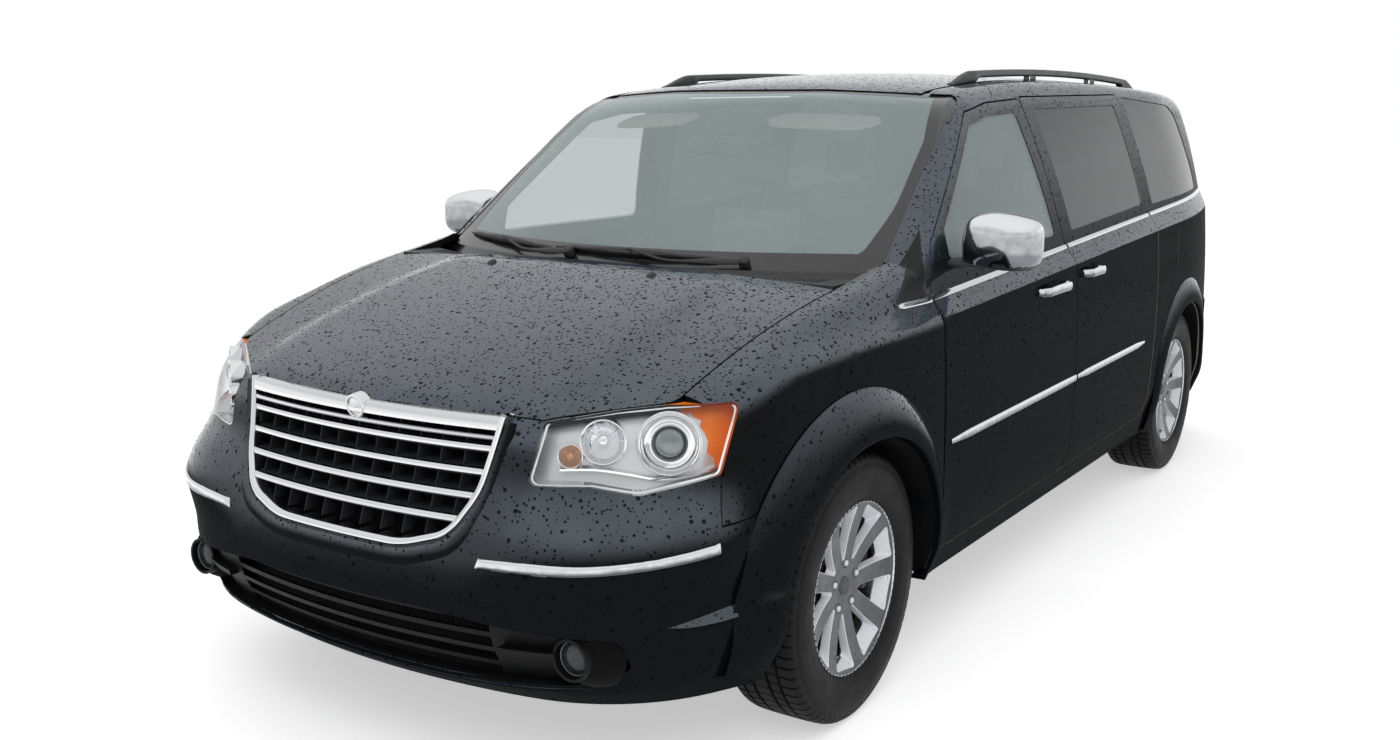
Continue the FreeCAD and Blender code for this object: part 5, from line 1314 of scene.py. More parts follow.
def make_frit():
    """Black printed border just inside the edge of the windscreen."""
    mesh = NODE["windshield"].data
    bm = bmesh.new()
    bm.from_mesh(mesh)
    n_out = Vector((0, -0.6, 0.8))
    drop = [f for f in bm.faces if f.normal.dot(n_out) < 0.3]
    bmesh.ops.delete(bm, geom=drop, context="FACES")
    bmesh.ops.remove_doubles(bm, verts=bm.verts, dist=0.0002)
    loops = []
    # a dictionary keeps the order of the edges, so the loop starts at the same place in each run
    left = {e: True for e in bm.edges if len(e.link_faces) == 1}
    while left:
        e = next(iter(left))
        del left[e]
        chain = [e.verts[0], e.verts[1]]
        while True:
            nxt = [x for x in chain[-1].link_edges if x in left]
            if not nxt:
                break
            del left[nxt[0]]
            chain.append(nxt[0].other_vert(chain[-1]))
        loops.append([v.co.copy() for v in chain])
    loop = max(loops, key=len)
    if (loop[0] - loop[-1]).length < 0.0005:
        loop = loop[:-1]
    bm.free()
    # even spacing
    size = len(loop)
    total = sum((loop[(i + 1) % size] - loop[i]).length for i in range(size))
    count = BORDER_COUNT
    pts, i, walked = [], 0, 0.0
    for k in range(count):
        want = total * k / count
        while walked + (loop[(i + 1) % size] - loop[i % size]).length < want:
            walked += (loop[(i + 1) % size] - loop[i % size]).length
            i += 1
        a, c = loop[i % size], loop[(i + 1) % size]
        pts.append(a.lerp(c, (want - walked) / max((c - a).length, 1e-9)))
    centre = sum(pts, Vector()) / count
    b = Build()
    rows, seal, reaches = [], [], []
    for k in range(count):
        p = pts[k]
        t = (pts[(k + 2) % count] - pts[k - 2]).normalized()
        inward = n_out.cross(t)
        if inward.dot(centre - p) < 0:
            inward = -inward
        inward.normalize()
        low = smoothstep((1.34 - p.z) / 0.20)
        high = smoothstep((p.z - 1.58) / 0.08)
        width = 0.034 + 0.042 * low + 0.026 * high
        skin_normal = SCREEN_TREE.find_nearest(p + inward * 0.02)[1]
        if skin_normal.dot(n_out) < 0:
            skin_normal = -skin_normal
        outward = -(inward - skin_normal * inward.dot(skin_normal)).normalized()
        reach = outward * (0.022 if p.z < 1.2 else 0.005) - skin_normal * 0.003
        for depth in SEAL_DEPTHS:
            gap = JOINT_TREE.ray_cast(p - skin_normal * depth, outward, SEAL_SEARCH)
            if gap[0]:
                reach = gap[0] + outward * 0.002 - p
                break
        reaches.append(reach)
        seal.append((p, outward, skin_normal))
        row = []
        for step in range(6):
            q = p + inward * (0.001 + width * step / 5)
            near = SCREEN_TREE.find_nearest(q)[0]
            hit = SCREEN_TREE.ray_cast(near + n_out * 0.05, -n_out, 0.2)
            base = hit[0] if hit[0] else near
            row.append(base + n_out * 0.0006)
        rows.append(row)
    b.grid(rows, 0, close_u=True)
    # black seal that closes the joint between the glass and what frames it
    band = []
    for k, (p, outward, normal) in enumerate(seal):
        reach = sum((reaches[(k + m) % count] for m in range(-2, 3)), Vector()) / 5
        band.append([p - outward * 0.001 + normal * 0.0007, p + outward * 0.001 + normal * 0.0007,
                     p + outward * 0.002 - normal * 0.0010, p + reach])
    b.grid(band, 0, close_u=True)
    b.done("windshield_border", [FRIT], "body", 60)


def make_nozzles():
    for x in (-300, 285):
        y = -1640
        b = BuildMM()
        rows = []
        for t, w, h in ((0, 0.2, 0.5), (0.12, 0.7, 4), (0.4, 1.0, 8), (0.8, 0.9, 10), (1.0, 0.6, 7)):
            yy = y - 14 + 30 * t
            base = HOOD_TREE.ray_cast(Vector((x / 1000, yy / 1000, 2)), Vector((0, 0, -1)))[0].z * 1000
            rows.append([(x + 13 * w * math.cos(math.pi * k / 10), yy,
                          base - 1 + (h + 1) * math.sin(math.pi * k / 10)) for k in range(11)])
        b.grid(rows, 0)
        base = len(b.v) - 11
        b.f.append(tuple(base + k for k in range(11)))
        b.m.append(0)
        b.done("washer_nozzle_%s" % ("left" if x > 0 else "right"), [BLACK], "hood", 40)


RAIL_ENDS = (-338, 1776)
RAIL_POSTS = (420, 1130)


def roof_at(x, y):
    """Height of the roof's skin in millimetres."""
    return FRAME_TREE.ray_cast(Vector((x / 1000, y / 1000, 2.2)), Vector((0, 0, -1)))[0].z * 1000


def make_rail(side):
    """Roof rail: a wedge that rises from the roof at each end, a raised bar and two posts."""
    s = SIGN[side]
    x = 585 * s
    y0, y1 = RAIL_ENDS
    knots = [(y, roof_at(x, y) + 26) for y in (y0 + 8, 650, y1 - 8)]

    def bar_z(y):
        total = 0.0
        for i, (yi, zi) in enumerate(knots):
            part = zi
            for j, (yj, _) in enumerate(knots):
                if i != j:
                    part *= (y - yj) / (yi - yj)
            total += part
        return total

    def ring(y, top, bottom, half):
        mid, tall = (top + bottom) / 2, (top - bottom) / 2
        corners = [squarish(a, 0.55) for a in turns(20)]
        return [(x + half * u, y, mid + tall * v) for u, v in corners]

    b = BuildMM()
    rows, ends = [], []
    n = 150
    for i in range(n + 1):
        y = lerp(y0, y1, i / n)
        near = min(y - y0, y1 - y)
        skin = roof_at(x, y)
        rise = smoothstep(near / 170) * 0.55 + min(near / 170, 1.0) * 0.45
        top = lerp(skin + 3, bar_z(y) + 14, rise)
        free = smoothstep((near - 200) / 34)
        bottom = lerp(skin - 5, bar_z(y) - 12, free)
        rows.append(ring(y, top, bottom, lerp(8, 15, min(near / 90, 1.0))))
        ends.append(near < 205)
    b.bar(rows, 0, flip=(s > 0))
    for i in range(n):
        if ends[i] and ends[i + 1]:
            for k in range(20):
                b.m[i * 20 + k] = 1
    b.m[-2:] = [1, 1]
    for y in RAIL_POSTS:
        post = [ring(y + step, bar_z(y) - 6, roof_at(x, y) - 6, 13.0) for step in (-31, -30, 30, 31)]
        b.grid(post, 0, close_v=True, flip=(s > 0))
    obj = b.done("roof_rail_" + side, [RAIL, RAIL_CAP], "body", 45)
    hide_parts("roof_rails")


make_frit()
make_nozzles()
for side_name in SIGN:
    make_rail(side_name)


# Tail: lamps, plate recess, bright bar, wiper, brake lamp, bumper pads
TAIL_TREE = tree_of(["tailgate"])
TAIL_GLASS_TREE = tree_of(["tailgate_glass"])
REAR_BUMPER_TREE = tree_of(["rear_bumper"])
TAIL_LAMP_TREE = tree_of(["taillamps"])


def back_y(tree, x, z, fallback=2480.0):
    hit = tree.ray_cast(Vector((x / 1000, 3.2, z / 1000)), Vector((0, -1, 0)), 1.6)
    return hit[0].y * 1000 if hit[0] else fallback


def back_patch(b, tree, outline, radii, rise, mat):
    """Low rounded plate on a rear surface; outline points are (x, z)."""
    edge, rings = 2.0, 6
    path = rounded(outline, radii, 5.0)
    cx = sum(p.x for p in path) / len(path)
    cz = sum(p.y for p in path) / len(path)
    rows = []
    for k in range(rings + 3):
        if k == 0:
            grow, high = 1.0, -3.0
        elif k == 1:
            grow, high = 1.0, rise * 0.5
        else:
            grow, high = 1.0 - (k - 2) / rings, rise
        row = []
        for p in path:
            d = Vector((cx, cz)) - p
            q = Vector((cx, cz)) - d * max(grow, 0.001)
            if k == 2:
                q = q + d.normalized() * edge
            row.append((q.x, back_y(tree, q.x, q.y) + high, q.y))
        rows.append(row)
    b.grid(rows, mat, close_v=True)


def make_tail():
    # plate recess: dark panel, blank plate, bright bar with the handle above it
    b = BuildMM()
    back_patch(b, TAIL_TREE, [(-300, 868), (300, 868), (330, 1036), (-330, 1036)], [30, 30, 24, 24], 1.4,
               0)
    y = max(back_y(TAIL_TREE, x, z) for x in (-150, 0, 150) for z in (880, 1010))
    b.box((-152, y - 6, 876), (152, y + 4.5, 1024), 1, 3.0)
    for x in (-120, 120):
        b.lathe([(0, 6), (2.0, 5.6), (2.8, 3.5), (2.9, 0.01)], (x, y + 4.4, 1012), (0, 1, 0), 18, 3)
    for x in (-205, 205):
        b.box((x - 28, y - 14, 1018), (x + 28, y + 1, 1030), 4, 2.5)
    b.done("plate_recess", [BLACK, PLATE, CHROME, STEEL, CLEAR_LAMP], "tailgate", 40)
    b = BuildMM()
    rows = []
    for k in range(73):
        x = -400 + 800 * k / 72
        row = []
        end = smoothstep(min(k, 72 - k) / 3 + 0.2)
        for high, z in ((-4, 1042), (7, 1042.6), (13, 1046), (15, 1054), (14, 1062), (9, 1068),
                        (-4, 1069)):
            row.append((x, back_y(TAIL_TREE, x, z) + high * (end if high > 0 else 1),
                        1055.5 + (z - 1055.5) * end))
        rows.append(row)
    b.grid(rows, 0, close_v=True)
    b.done("tailgate_bright_bar", [CHROME], "tailgate", 45)
    # upper brake lamp
    b = BuildMM()
    top_z = 1664
    rows = []
    for k in range(41):
        x = -170 + 340 * k / 40
        end = smoothstep(min(k, 40 - k) / 2 + 0.25)
        row = []
        for high, z in ((-6, -11), (4, -11), (8, -7), (9, 0), (8, 7), (4, 11), (-6, 11)):
            y = max(back_y(TAIL_TREE, x, top_z + z * end, 0), back_y(TAIL_TREE, x, top_z, 0))
            row.append((x, y + high * (end if high > 0 else 1), top_z + z * end))
        rows.append(row)
    b.grid(rows, 0, close_v=True)
    b.done("upper_brake_lamp", [RED_LENS], "tailgate", 45)
    # rear wiper
    b = BuildMM()
    hub = Vector((0, back_y(TAIL_TREE, 0, 1122) + 2, 1122))
    b.lathe([(-6, 21), (10, 20), (18, 16), (21, 9), (21.6, 0.01)], hub, (0, 1, 0.2), 28, 0)
    path, blade = [], []
    for k in range(25):
        t = k / 24
        x, z = -20 - 330 * t, 1126 + 52 * t - 8 * math.sin(math.pi * t)
        y = max(back_y(TAIL_GLASS_TREE, x, z, 0), back_y(TAIL_TREE, x, z, 0))
        path.append((x * 0.94, y + 19 - 7 * t, z + 6))
        x2, z2 = -70 - 330 * t, 1150 + 34 * t
        blade.append((x2, max(back_y(TAIL_GLASS_TREE, x2, z2, 0), back_y(TAIL_TREE, x2, z2, 0)) + 6.5,
                      z2))
    b.tube(path, [lerp(10, 5, k / 24) for k in range(25)], 10, 0, squash=0.6)
    b.tube(blade, 4.6, 8, 0, squash=1.3)
    b.done("rear_wiper", [BLACK], "tailgate", 45)
    # bumper: black step pad, reflectors, sensors
    b = BuildMM()
    rows = []
    for k in range(61):
        x = -560 + 1120 * k / 60
        row = []
        for z, high in ((598, -3), (600, 1.6), (604, 2.4), (640, 2.4), (664, 2.2), (668, 1.0), (670, -3)):
            row.append((x, back_y(REAR_BUMPER_TREE, x, z) + high, z))
        rows.append(row)
    b.grid(rows, 0)
    for s in (1, -1):
        back_patch(b, REAR_BUMPER_TREE, [(600 * s, 372), (760 * s, 372), (760 * s, 412), (600 * s, 412)],
                   [10] * 4, 3.0, 1)
        for x in (210, 560):
            y = back_y(REAR_BUMPER_TREE, x * s, 505)
            b.lathe([(-3, 12.5), (0.8, 12), (1.4, 10.5), (0.9, 9.5), (1.2, 0.01)], (x * s, y, 505),
                    (0, 1, 0), 28, 2)
    b.done("rear_bumper_trim", [BLACK, RED_LENS, FRIT], "body", 35)


def make_tail_lamps():
    """Clear reversing band, inner rings and ribs laid on and in each tail lamp."""
    for side, s in SIGN.items():
        b = BuildMM()
        for z0, z1, mat in ((936, 1000, 0), (1004, 1010, 1), (924, 930, 1), (1120, 1126, 1)):
            rows = []
            for k in range(25):
                t = k / 24
                a = math.radians(lerp(8, 88, t))
                row = []
                for z in (z0, (z0 + z1) / 2, z1):
                    origin = Vector((0.55 * s, 2.05, z / 1000))
                    aim = Vector((math.cos(a) * s, math.sin(a), 0))
                    hit = TAIL_LAMP_TREE.ray_cast(origin + aim * 1.2, -aim, 1.1)
                    row.append(hit[0] * 1000 + aim * 0.7 if hit[0] and (hit[0] - origin).length > 0.2
                               else None)
                if None not in row:
                    rows.append(row)
            if len(rows) > 2:
                b.grid(rows, mat, flip=(s < 0))
        if b.v:
            b.done("tail_lamp_bands_" + side, [CLEAR_LAMP, CHROME], "body", 50)


def make_fuel_flap():
    """Thin rounded flap with a dark gap on the left rear quarter."""
    for grow, rise, material, name in ((1.0, 0.5, WELL, "fuel_flap_gap"),
                                       (0.955, 1.0, PAINT, "fuel_flap")):
        b = BuildMM()
        cy, cz = 1385, 1010
        half = 82 * grow
        rings = []
        for ring in (1.0, 0.985, 0.8, 0.5, 0.001):
            row = []
            for u, v in [squarish(a, 0.35) for a in turns(64)]:
                y, z = cy + half * ring * u, cz + half * ring * v
                row.append((out_x("left", y, z, 0) + (rise if ring < 0.99 else -1.0), y, z))
            rings.append(row)
        b.grid(rings, 0, close_v=True)
        b.done(name, [material], "body", 40)


make_tail()
make_tail_lamps()
make_fuel_flap()


# Arch flares, wheel-house liners, wipers, cowl louvres
SHELL_TREES = {}
for side_name in SIGN:
    SHELL_TREES[side_name] = tree_of(["body_side_" + side_name, "fender_" + side_name,
                                      "sliding_door_" + side_name, "front_bumper", "rear_bumper"])


def shell_x(side, y, z):
    """Outermost x of the shell about a point, bridging panel gaps and bumper seams."""
    steps = ((0, 0), (-9, 0), (9, 0), (0, 9), (0, -9))
    return max(side_x(SHELL_TREES[side], SIGN[side], y + dy, z + dz, 0.7) for dy, dz in steps)


FLARE_PROFILE = [(0.0, -0.02), (0.02, 0.03), (0.07, 0.17), (0.16, 0.40), (0.28, 0.62), (0.42, 0.80),
                 (0.56, 0.92), (0.70, 0.99), (0.82, 1.0), (0.91, 0.97), (0.96, 0.90), (1.0, 0.76)]


def make_flare(side, name, axle_y, radius, outer, angles, lift):
    """Crisp raised lip round a wheel arch, wide above and in front, narrow towards the door."""
    s = SIGN[side]
    cy, cz, reach = outer
    wz = WZ * 1000
    inner_r = radius + 0.8
    n = 110
    bases, spots = [], []
    for i in range(n + 1):
        a = math.radians(lerp(angles[0], angles[1], i / n))
        dy, dz = math.sin(a), math.cos(a)
        oy, oz = axle_y - cy, wz - cz
        dot = oy * dy + oz * dz
        far = -dot + math.sqrt(dot * dot - (oy * oy + oz * oz - reach * reach))
        line = []
        for u, _ in FLARE_PROFILE:
            r = lerp(far, inner_r, u)
            line.append((axle_y + dy * r, wz + dz * r))
        spots.append((line, far - inner_r))
        bases.append([shell_x(side, y, z) for y, z in line])
    # the shell's own width, evened along the arch so that seams leave no step
    rows = []
    for i, (line, width) in enumerate(spots):
        ends = smoothstep(min(i, n - i) / (n * 0.07))
        rise = lift * min(1.0, width / 120.0) ** 0.75 * lerp(0.35, 1.0, ends)
        row = []
        for j, ((y, z), (u, high)) in enumerate(zip(line, FLARE_PROFILE)):
            near = [bases[k][j] for k in range(max(0, i - 2), min(n, i + 2) + 1) if bases[k][j] > 600]
            base = max(near) if near else bases[i][j]
            row.append((s * (base + rise * high), y, z))
        x, y, z = row[-1]
        row.append((x - s * (0.76 * rise + 8), y, z))
        rows.append(row)
    b = BuildMM()
    b.grid(rows, 0, flip=(s < 0))
    b.close_ends(rows)
    b.done("arch_flare_%s_%s" % (name, side), [PAINT_FRONT], "body", 28)


def make_liner(side, name, axle_y, radius, x0, angles):
    """Dark wheel-house lining just inside the arch opening."""
    s = SIGN[side]
    wz = WZ * 1000
    rows = []
    for i in range(61):
        a = math.radians(lerp(angles[0], angles[1], i / 60))
        y, z = axle_y + radius * math.sin(a), wz + radius * math.cos(a)
        edge = max(shell_x(side, axle_y + (radius + 10) * math.sin(a),
                           wz + (radius + 10) * math.cos(a)) - 5, 900)
        ridge = 1.2 * math.cos(a * 18)
        row = []
        for k in range(9):
            t = k / 8
            r = radius - (abs(ridge) if 0.1 < t < 0.9 else 0.0)
            row.append((s * lerp(x0, edge, t), axle_y + r * math.sin(a), wz + r * math.cos(a)))
        rows.append(row)
    thick = [[(x, axle_y + (y - axle_y) * (radius + 1.5) / radius,
               wz + (z - wz) * (radius + 1.5) / radius) for x, y, z in row]
             for row in rows]
    b = BuildMM()
    b.grid(rows, 0, flip=(s > 0))
    b.grid(thick, 0, flip=(s < 0))
    b.done("wheel_liner_%s_%s" % (name, side), [WELL], "body", 50)


for side_name in SIGN:
    make_flare(side_name, "front", FRONT_AXLE, 408, (-1668, 408, 499), (-101, 105), 25)
    make_flare(side_name, "rear", REAR_AXLE, 402, (1480, 392, 478), (-104, 100), 17)
    make_liner(side_name, "front", FRONT_AXLE, 405.0, 640, (-96, 104))
    make_liner(side_name, "rear", REAR_AXLE, 399.5, 700, (-104, 96))


def screen_at(x, z):
    """Point of the windscreen's outer face seen from the front, and its normal."""
    hit = SCREEN_TREE.ray_cast(Vector((x / 1000, -2.4, z / 1000)), Vector((0, 1, 0)), 2.5)
    normal = hit[1] if hit[1].y < 0 else -hit[1]
    return hit[0] * 1000, normal


def ribbon(b, path, section, mat):
    """Section of (across, up) points carried along (point, normal, scale) stations."""
    rows = []
    for i, (p, normal, wide, high) in enumerate(path):
        t = (path[min(i + 1, len(path) - 1)][0] - path[max(i - 1, 0)][0]).normalized()
        across = t.cross(normal).normalized()
        rows.append([p + across * (u * wide) + normal * (v * high) for u, v in section])
    b.bar(rows, mat, flip=True)


ROUND_BAR = [(math.cos(math.pi * k / 6), math.sin(math.pi * k / 6)) for k in range(12)]
LIP_BAR = [(-0.5, 0.0), (0.5, 0.0), (1.0, 0.8), (1.0, 1.0), (-1.0, 1.0), (-1.0, 0.8)]


def make_wiper(name, x0, x1, z0, z1, pivot_x, pivot_z, claw):
    """Blade on the glass, bridges that spread the load, and a sprung arm from the cowl."""
    b = BuildMM()

    def on_glass(x, lift, drop=0.0):
        t = (x - x0) / (x1 - x0)
        p, normal = screen_at(x, lerp(z0, z1, t) - drop)
        return p + normal * lift, normal

    n = 44
    spine, lip = [], []
    for i in range(n + 1):
        x = lerp(x0, x1, i / n)
        p, normal = on_glass(x, 9.5)
        end = 0.55 + 0.45 * smoothstep(min(i, n - i) / 3)
        spine.append((p, normal, 4.6 * end, 2.4 * end))
        q, _ = on_glass(x, 0.6)
        lip.append((q, normal, 2.0, 8.6))
    ribbon(b, spine, ROUND_BAR, 0)
    ribbon(b, lip, LIP_BAR, 1)

    def bridge(a0, a1, low, high, wide):
        path = []
        for i in range(17):
            t = i / 16
            p, normal = on_glass(lerp(a0, a1, t), lerp(low, high, math.sin(math.pi * t) ** 0.7))
            path.append((p, normal, wide * (0.55 + 0.45 * math.sin(math.pi * t)), 2.2))
        ribbon(b, path, ROUND_BAR, 0)

    reach = abs(x1 - x0)
    s = 1 if x1 > x0 else -1
    for part, low, high, wide in ((0.34, 11.5, 23, 8.0), (0.16, 11, 16, 6.0)):
        if part > 0.3:
            bridge(claw - s * reach * part, claw + s * reach * part, low, high, wide)
        else:
            for m in (-0.34, 0.34):
                bridge(claw + s * reach * (m - part * 0.8), claw + s * reach * (m + part * 0.8), low,
                       high, wide)
    # arm: hook over the bridge, long bar, wide sprung root and its pivot cap
    path = []
    for i in range(31):
        t = i / 30
        x = lerp(claw - 14, pivot_x, t)
        own = lerp(z0, z1, (x - x0) / (x1 - x0))
        drop = 22 * smoothstep(t / 0.5) * (1 - t) + t * (own - pivot_z)
        p, normal = on_glass(x, lerp(27, 20, smoothstep(t / 0.4)), drop)
        wide = lerp(4.5, 12.5, smoothstep((t - 0.45) / 0.4))
        path.append((p, normal, wide, lerp(3.2, 6.0, smoothstep((t - 0.5) / 0.3))))
    ribbon(b, path, ROUND_BAR, 0)
    top, normal = path[-1][0], path[-1][1]
    b.lathe([(-16, 17), (4, 17), (8, 15), (10, 10), (10.2, 0.01)], top, normal, 28, 0)
    hold, hold_n = on_glass(claw, 23)
    b.lathe([(-5, 6.5), (5, 6.5), (6, 5), (6.1, 0.01)], hold, hold_n, 16, 0)
    obj = b.done(name, [BLACK, RUBBER], "body", 40)
    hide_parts("wipers")


make_wiper("wiper_left", -205, 372, 1177, 1170, 452, 1160, 96)
make_wiper("wiper_right", -700, -196, 1183, 1170, -128, 1161, -440)

COWL_TREE = tree_of(["cowl"])


def make_cowl():
    """Raised ribs and a mesh-like row of louvres on the panel under the windscreen."""
    b = BuildMM()
    for i in range(96):
        x = -712 + i * 15
        rows = []
        for k in range(7):
            y = -1508 + k * 14 + 0.00006 * x * x
            hit = COWL_TREE.ray_cast(Vector((x / 1000, y / 1000, 1.6)), Vector((0, 0, -1)), 0.8)
            if not hit[0]:
                continue
            z = hit[0].z * 1000
            rise = 2.6 * (1 if 0 < k < 6 else 0.2)
            rows.append([(x - 3.5, y, z - 1), (x - 2.6, y, z + rise), (x + 2.6, y, z + rise),
                         (x + 3.5, y, z - 1)])
        if len(rows) > 3:
            b.grid(rows, 0)
    if b.v:
        b.done("cowl_louvres", [BLACK], "body", 30)


make_cowl()


# Seats: cushions, backs and head rests swelled by a short cloth simulation
def slab(width, depth, low, high, bolster=0.0, waist=0.0):
    """Closed pad lying along +Y; the sides roll up into bolsters. Metres, centred on x = 0."""
    n, m = 56, 44
    rows = []
    for i in range(m + 1):
        t = i / m
        end = (1 - abs(2 * t - 1) ** 5) ** 0.5 if 0 < t < 1 else 0.02
        end = max(end, 0.06)
        y = depth * (0.5 - 0.5 * math.cos(math.pi * t)) if t not in (0, 1) else depth * t
        half = width / 2 * (0.80 + 0.20 * end) * (1 - waist * math.sin(math.pi * t))
        mid, tall = (low + high) / 2, (high - low) / 2
        row = []
        for a in turns(n):
            u, v = squarish(a, 0.42, 0.5)
            sa = math.sin(a)
            x, z = half * u, mid + tall * end * v
            if sa > 0 and bolster:
                z += bolster * smoothstep((abs(x) - half * 0.52) / (half * 0.3)) * end * abs(sa) ** 0.5
            row.append((x, y, z))
        rows.append(row)
    b = Build()
    b.bar(rows, 0, flip=True)
    return b


PAD_VOXEL = 0.0085
CLOTH_FRAMES = 20
CLOTH_PRESSURE = 4.0
CLOTH_MASS = 0.3
CLOTH_STRETCH, CLOTH_BEND = 12, 0.6


def swell(mesh, cap):
    """Voxel remesh, twenty frames of cloth under pressure, every move capped."""
    obj = bpy.data.objects.new("pad_work", mesh)
    bpy.context.scene.collection.objects.link(obj)
    re = obj.modifiers.new("re", "REMESH")
    re.mode = "VOXEL"
    re.voxel_size = PAD_VOXEL
    bpy.context.view_layer.update()
    dg = bpy.context.evaluated_depsgraph_get()
    solid = bpy.data.meshes.new_from_object(obj.evaluated_get(dg))
    obj.modifiers.clear()
    obj.data = solid
    start = [v.co.copy() for v in solid.vertices]
    mod = obj.modifiers.new("cloth", "CLOTH")
    s = mod.settings
    s.quality = 4
    s.mass = CLOTH_MASS
    s.tension_stiffness = CLOTH_STRETCH
    s.compression_stiffness = CLOTH_STRETCH
    s.bending_stiffness = CLOTH_BEND
    s.use_pressure = True
    s.uniform_pressure_force = CLOTH_PRESSURE
    s.effector_weights.gravity = 0.0
    mod.collision_settings.use_collision = False
    mod.point_cache.frame_start = 1
    mod.point_cache.frame_end = CLOTH_FRAMES
    for f in range(1, CLOTH_FRAMES + 1):
        bpy.context.scene.frame_set(f)
    dg = bpy.context.evaluated_depsgraph_get()
    moved = [v.co.copy() for v in obj.evaluated_get(dg).data.vertices]
    bpy.context.scene.frame_set(1)
    obj.modifiers.clear()
    out = []
    for p, q in zip(start, moved):
        d = q - p
        out.append(p + d * min(1.0, cap / max(d.length, 1e-9)))
    bpy.data.objects.remove(obj)
    return solid, out


def pad_shape(b, cap, seams):
    """Swollen pad as vertices and faces, with sewn lines pressed in afterwards."""
    mesh = bpy.data.meshes.new("pad_start")
    mesh.from_pydata(b.v, [], b.f)
    mesh.update()
    solid, verts = swell(mesh, cap)
    for k, v in enumerate(solid.vertices):
        v.co = verts[k]
    solid.update()
    normals = [v.normal.copy() for v in solid.vertices]
    out = []
    for p, n in zip(verts, normals):
        depth = 0.0
        for test, deep, wide in seams:
            d = test(p)
            if d is not None:
                depth = max(depth, deep * math.exp(-(d / wide) ** 2))
        out.append(p - n * depth)
    faces = [tuple(poly.vertices) for poly in solid.polygons]
    return out, faces


def put_pad(name, shape, matrix, nodes):
    verts, faces = shape
    obj = piece(name, [matrix @ v for v in verts], faces, [CLOTH], "body", 180)
    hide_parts(nodes)
    return obj


def across(at):
    """Distance from the pair of seams along the pad, on its seen side."""
    return lambda p: abs(abs(p.x) - at) if p.z > 0.0 else None


def along(at, reach):
    """Distance from a seam across the pad, on its seen side."""
    return lambda p: abs(p.y - at) if abs(p.x) < reach and p.z > 0 else None


def rim_seam(mid):
    """Welt that runs round the pad's edge."""
    return lambda p: abs(p.z - mid)


cushion_front = pad_shape(slab(0.470, 0.445, -0.052, 0.052, bolster=0.022), 0.022,
                          [(across(0.158), 0.007, 0.007), (along(0.10, 0.155), 0.004, 0.006),
                           (along(0.20, 0.155), 0.005, 0.006), (along(0.30, 0.155), 0.004, 0.006),
                           (rim_seam(-0.028), 0.003, 0.005)])
back_front = pad_shape(slab(0.460, 0.600, -0.040, 0.040, bolster=0.030, waist=0.02), 0.022,
                       [(across(0.150), 0.007, 0.007), (along(0.16, 0.148), 0.004, 0.006),
                        (along(0.30, 0.148), 0.005, 0.006), (along(0.44, 0.148), 0.004, 0.006),
                        (rim_seam(-0.022), 0.003, 0.005)])
rest_shape = pad_shape(slab(0.240, 0.150, -0.034, 0.034, waist=-0.02), 0.014,
                       [(across(0.085), 0.004, 0.006), (rim_seam(-0.014), 0.002, 0.005)])
bench_cushion = pad_shape(slab(1.110, 0.445, -0.050, 0.050), 0.022,
                          [(lambda p: abs(abs(p.x) - 0.185), 0.009, 0.008),
                           (along(0.14, 0.6), 0.004, 0.006), (along(0.28, 0.6), 0.004, 0.006),
                           (rim_seam(-0.026), 0.003, 0.005)])
bench_back = pad_shape(slab(1.100, 0.600, -0.040, 0.040), 0.022,
                       [(lambda p: abs(abs(p.x) - 0.185), 0.009, 0.008), (along(0.20, 0.6), 0.004, 0.006),
                        (along(0.40, 0.6), 0.004, 0.006), (rim_seam(-0.022), 0.003, 0.005)])


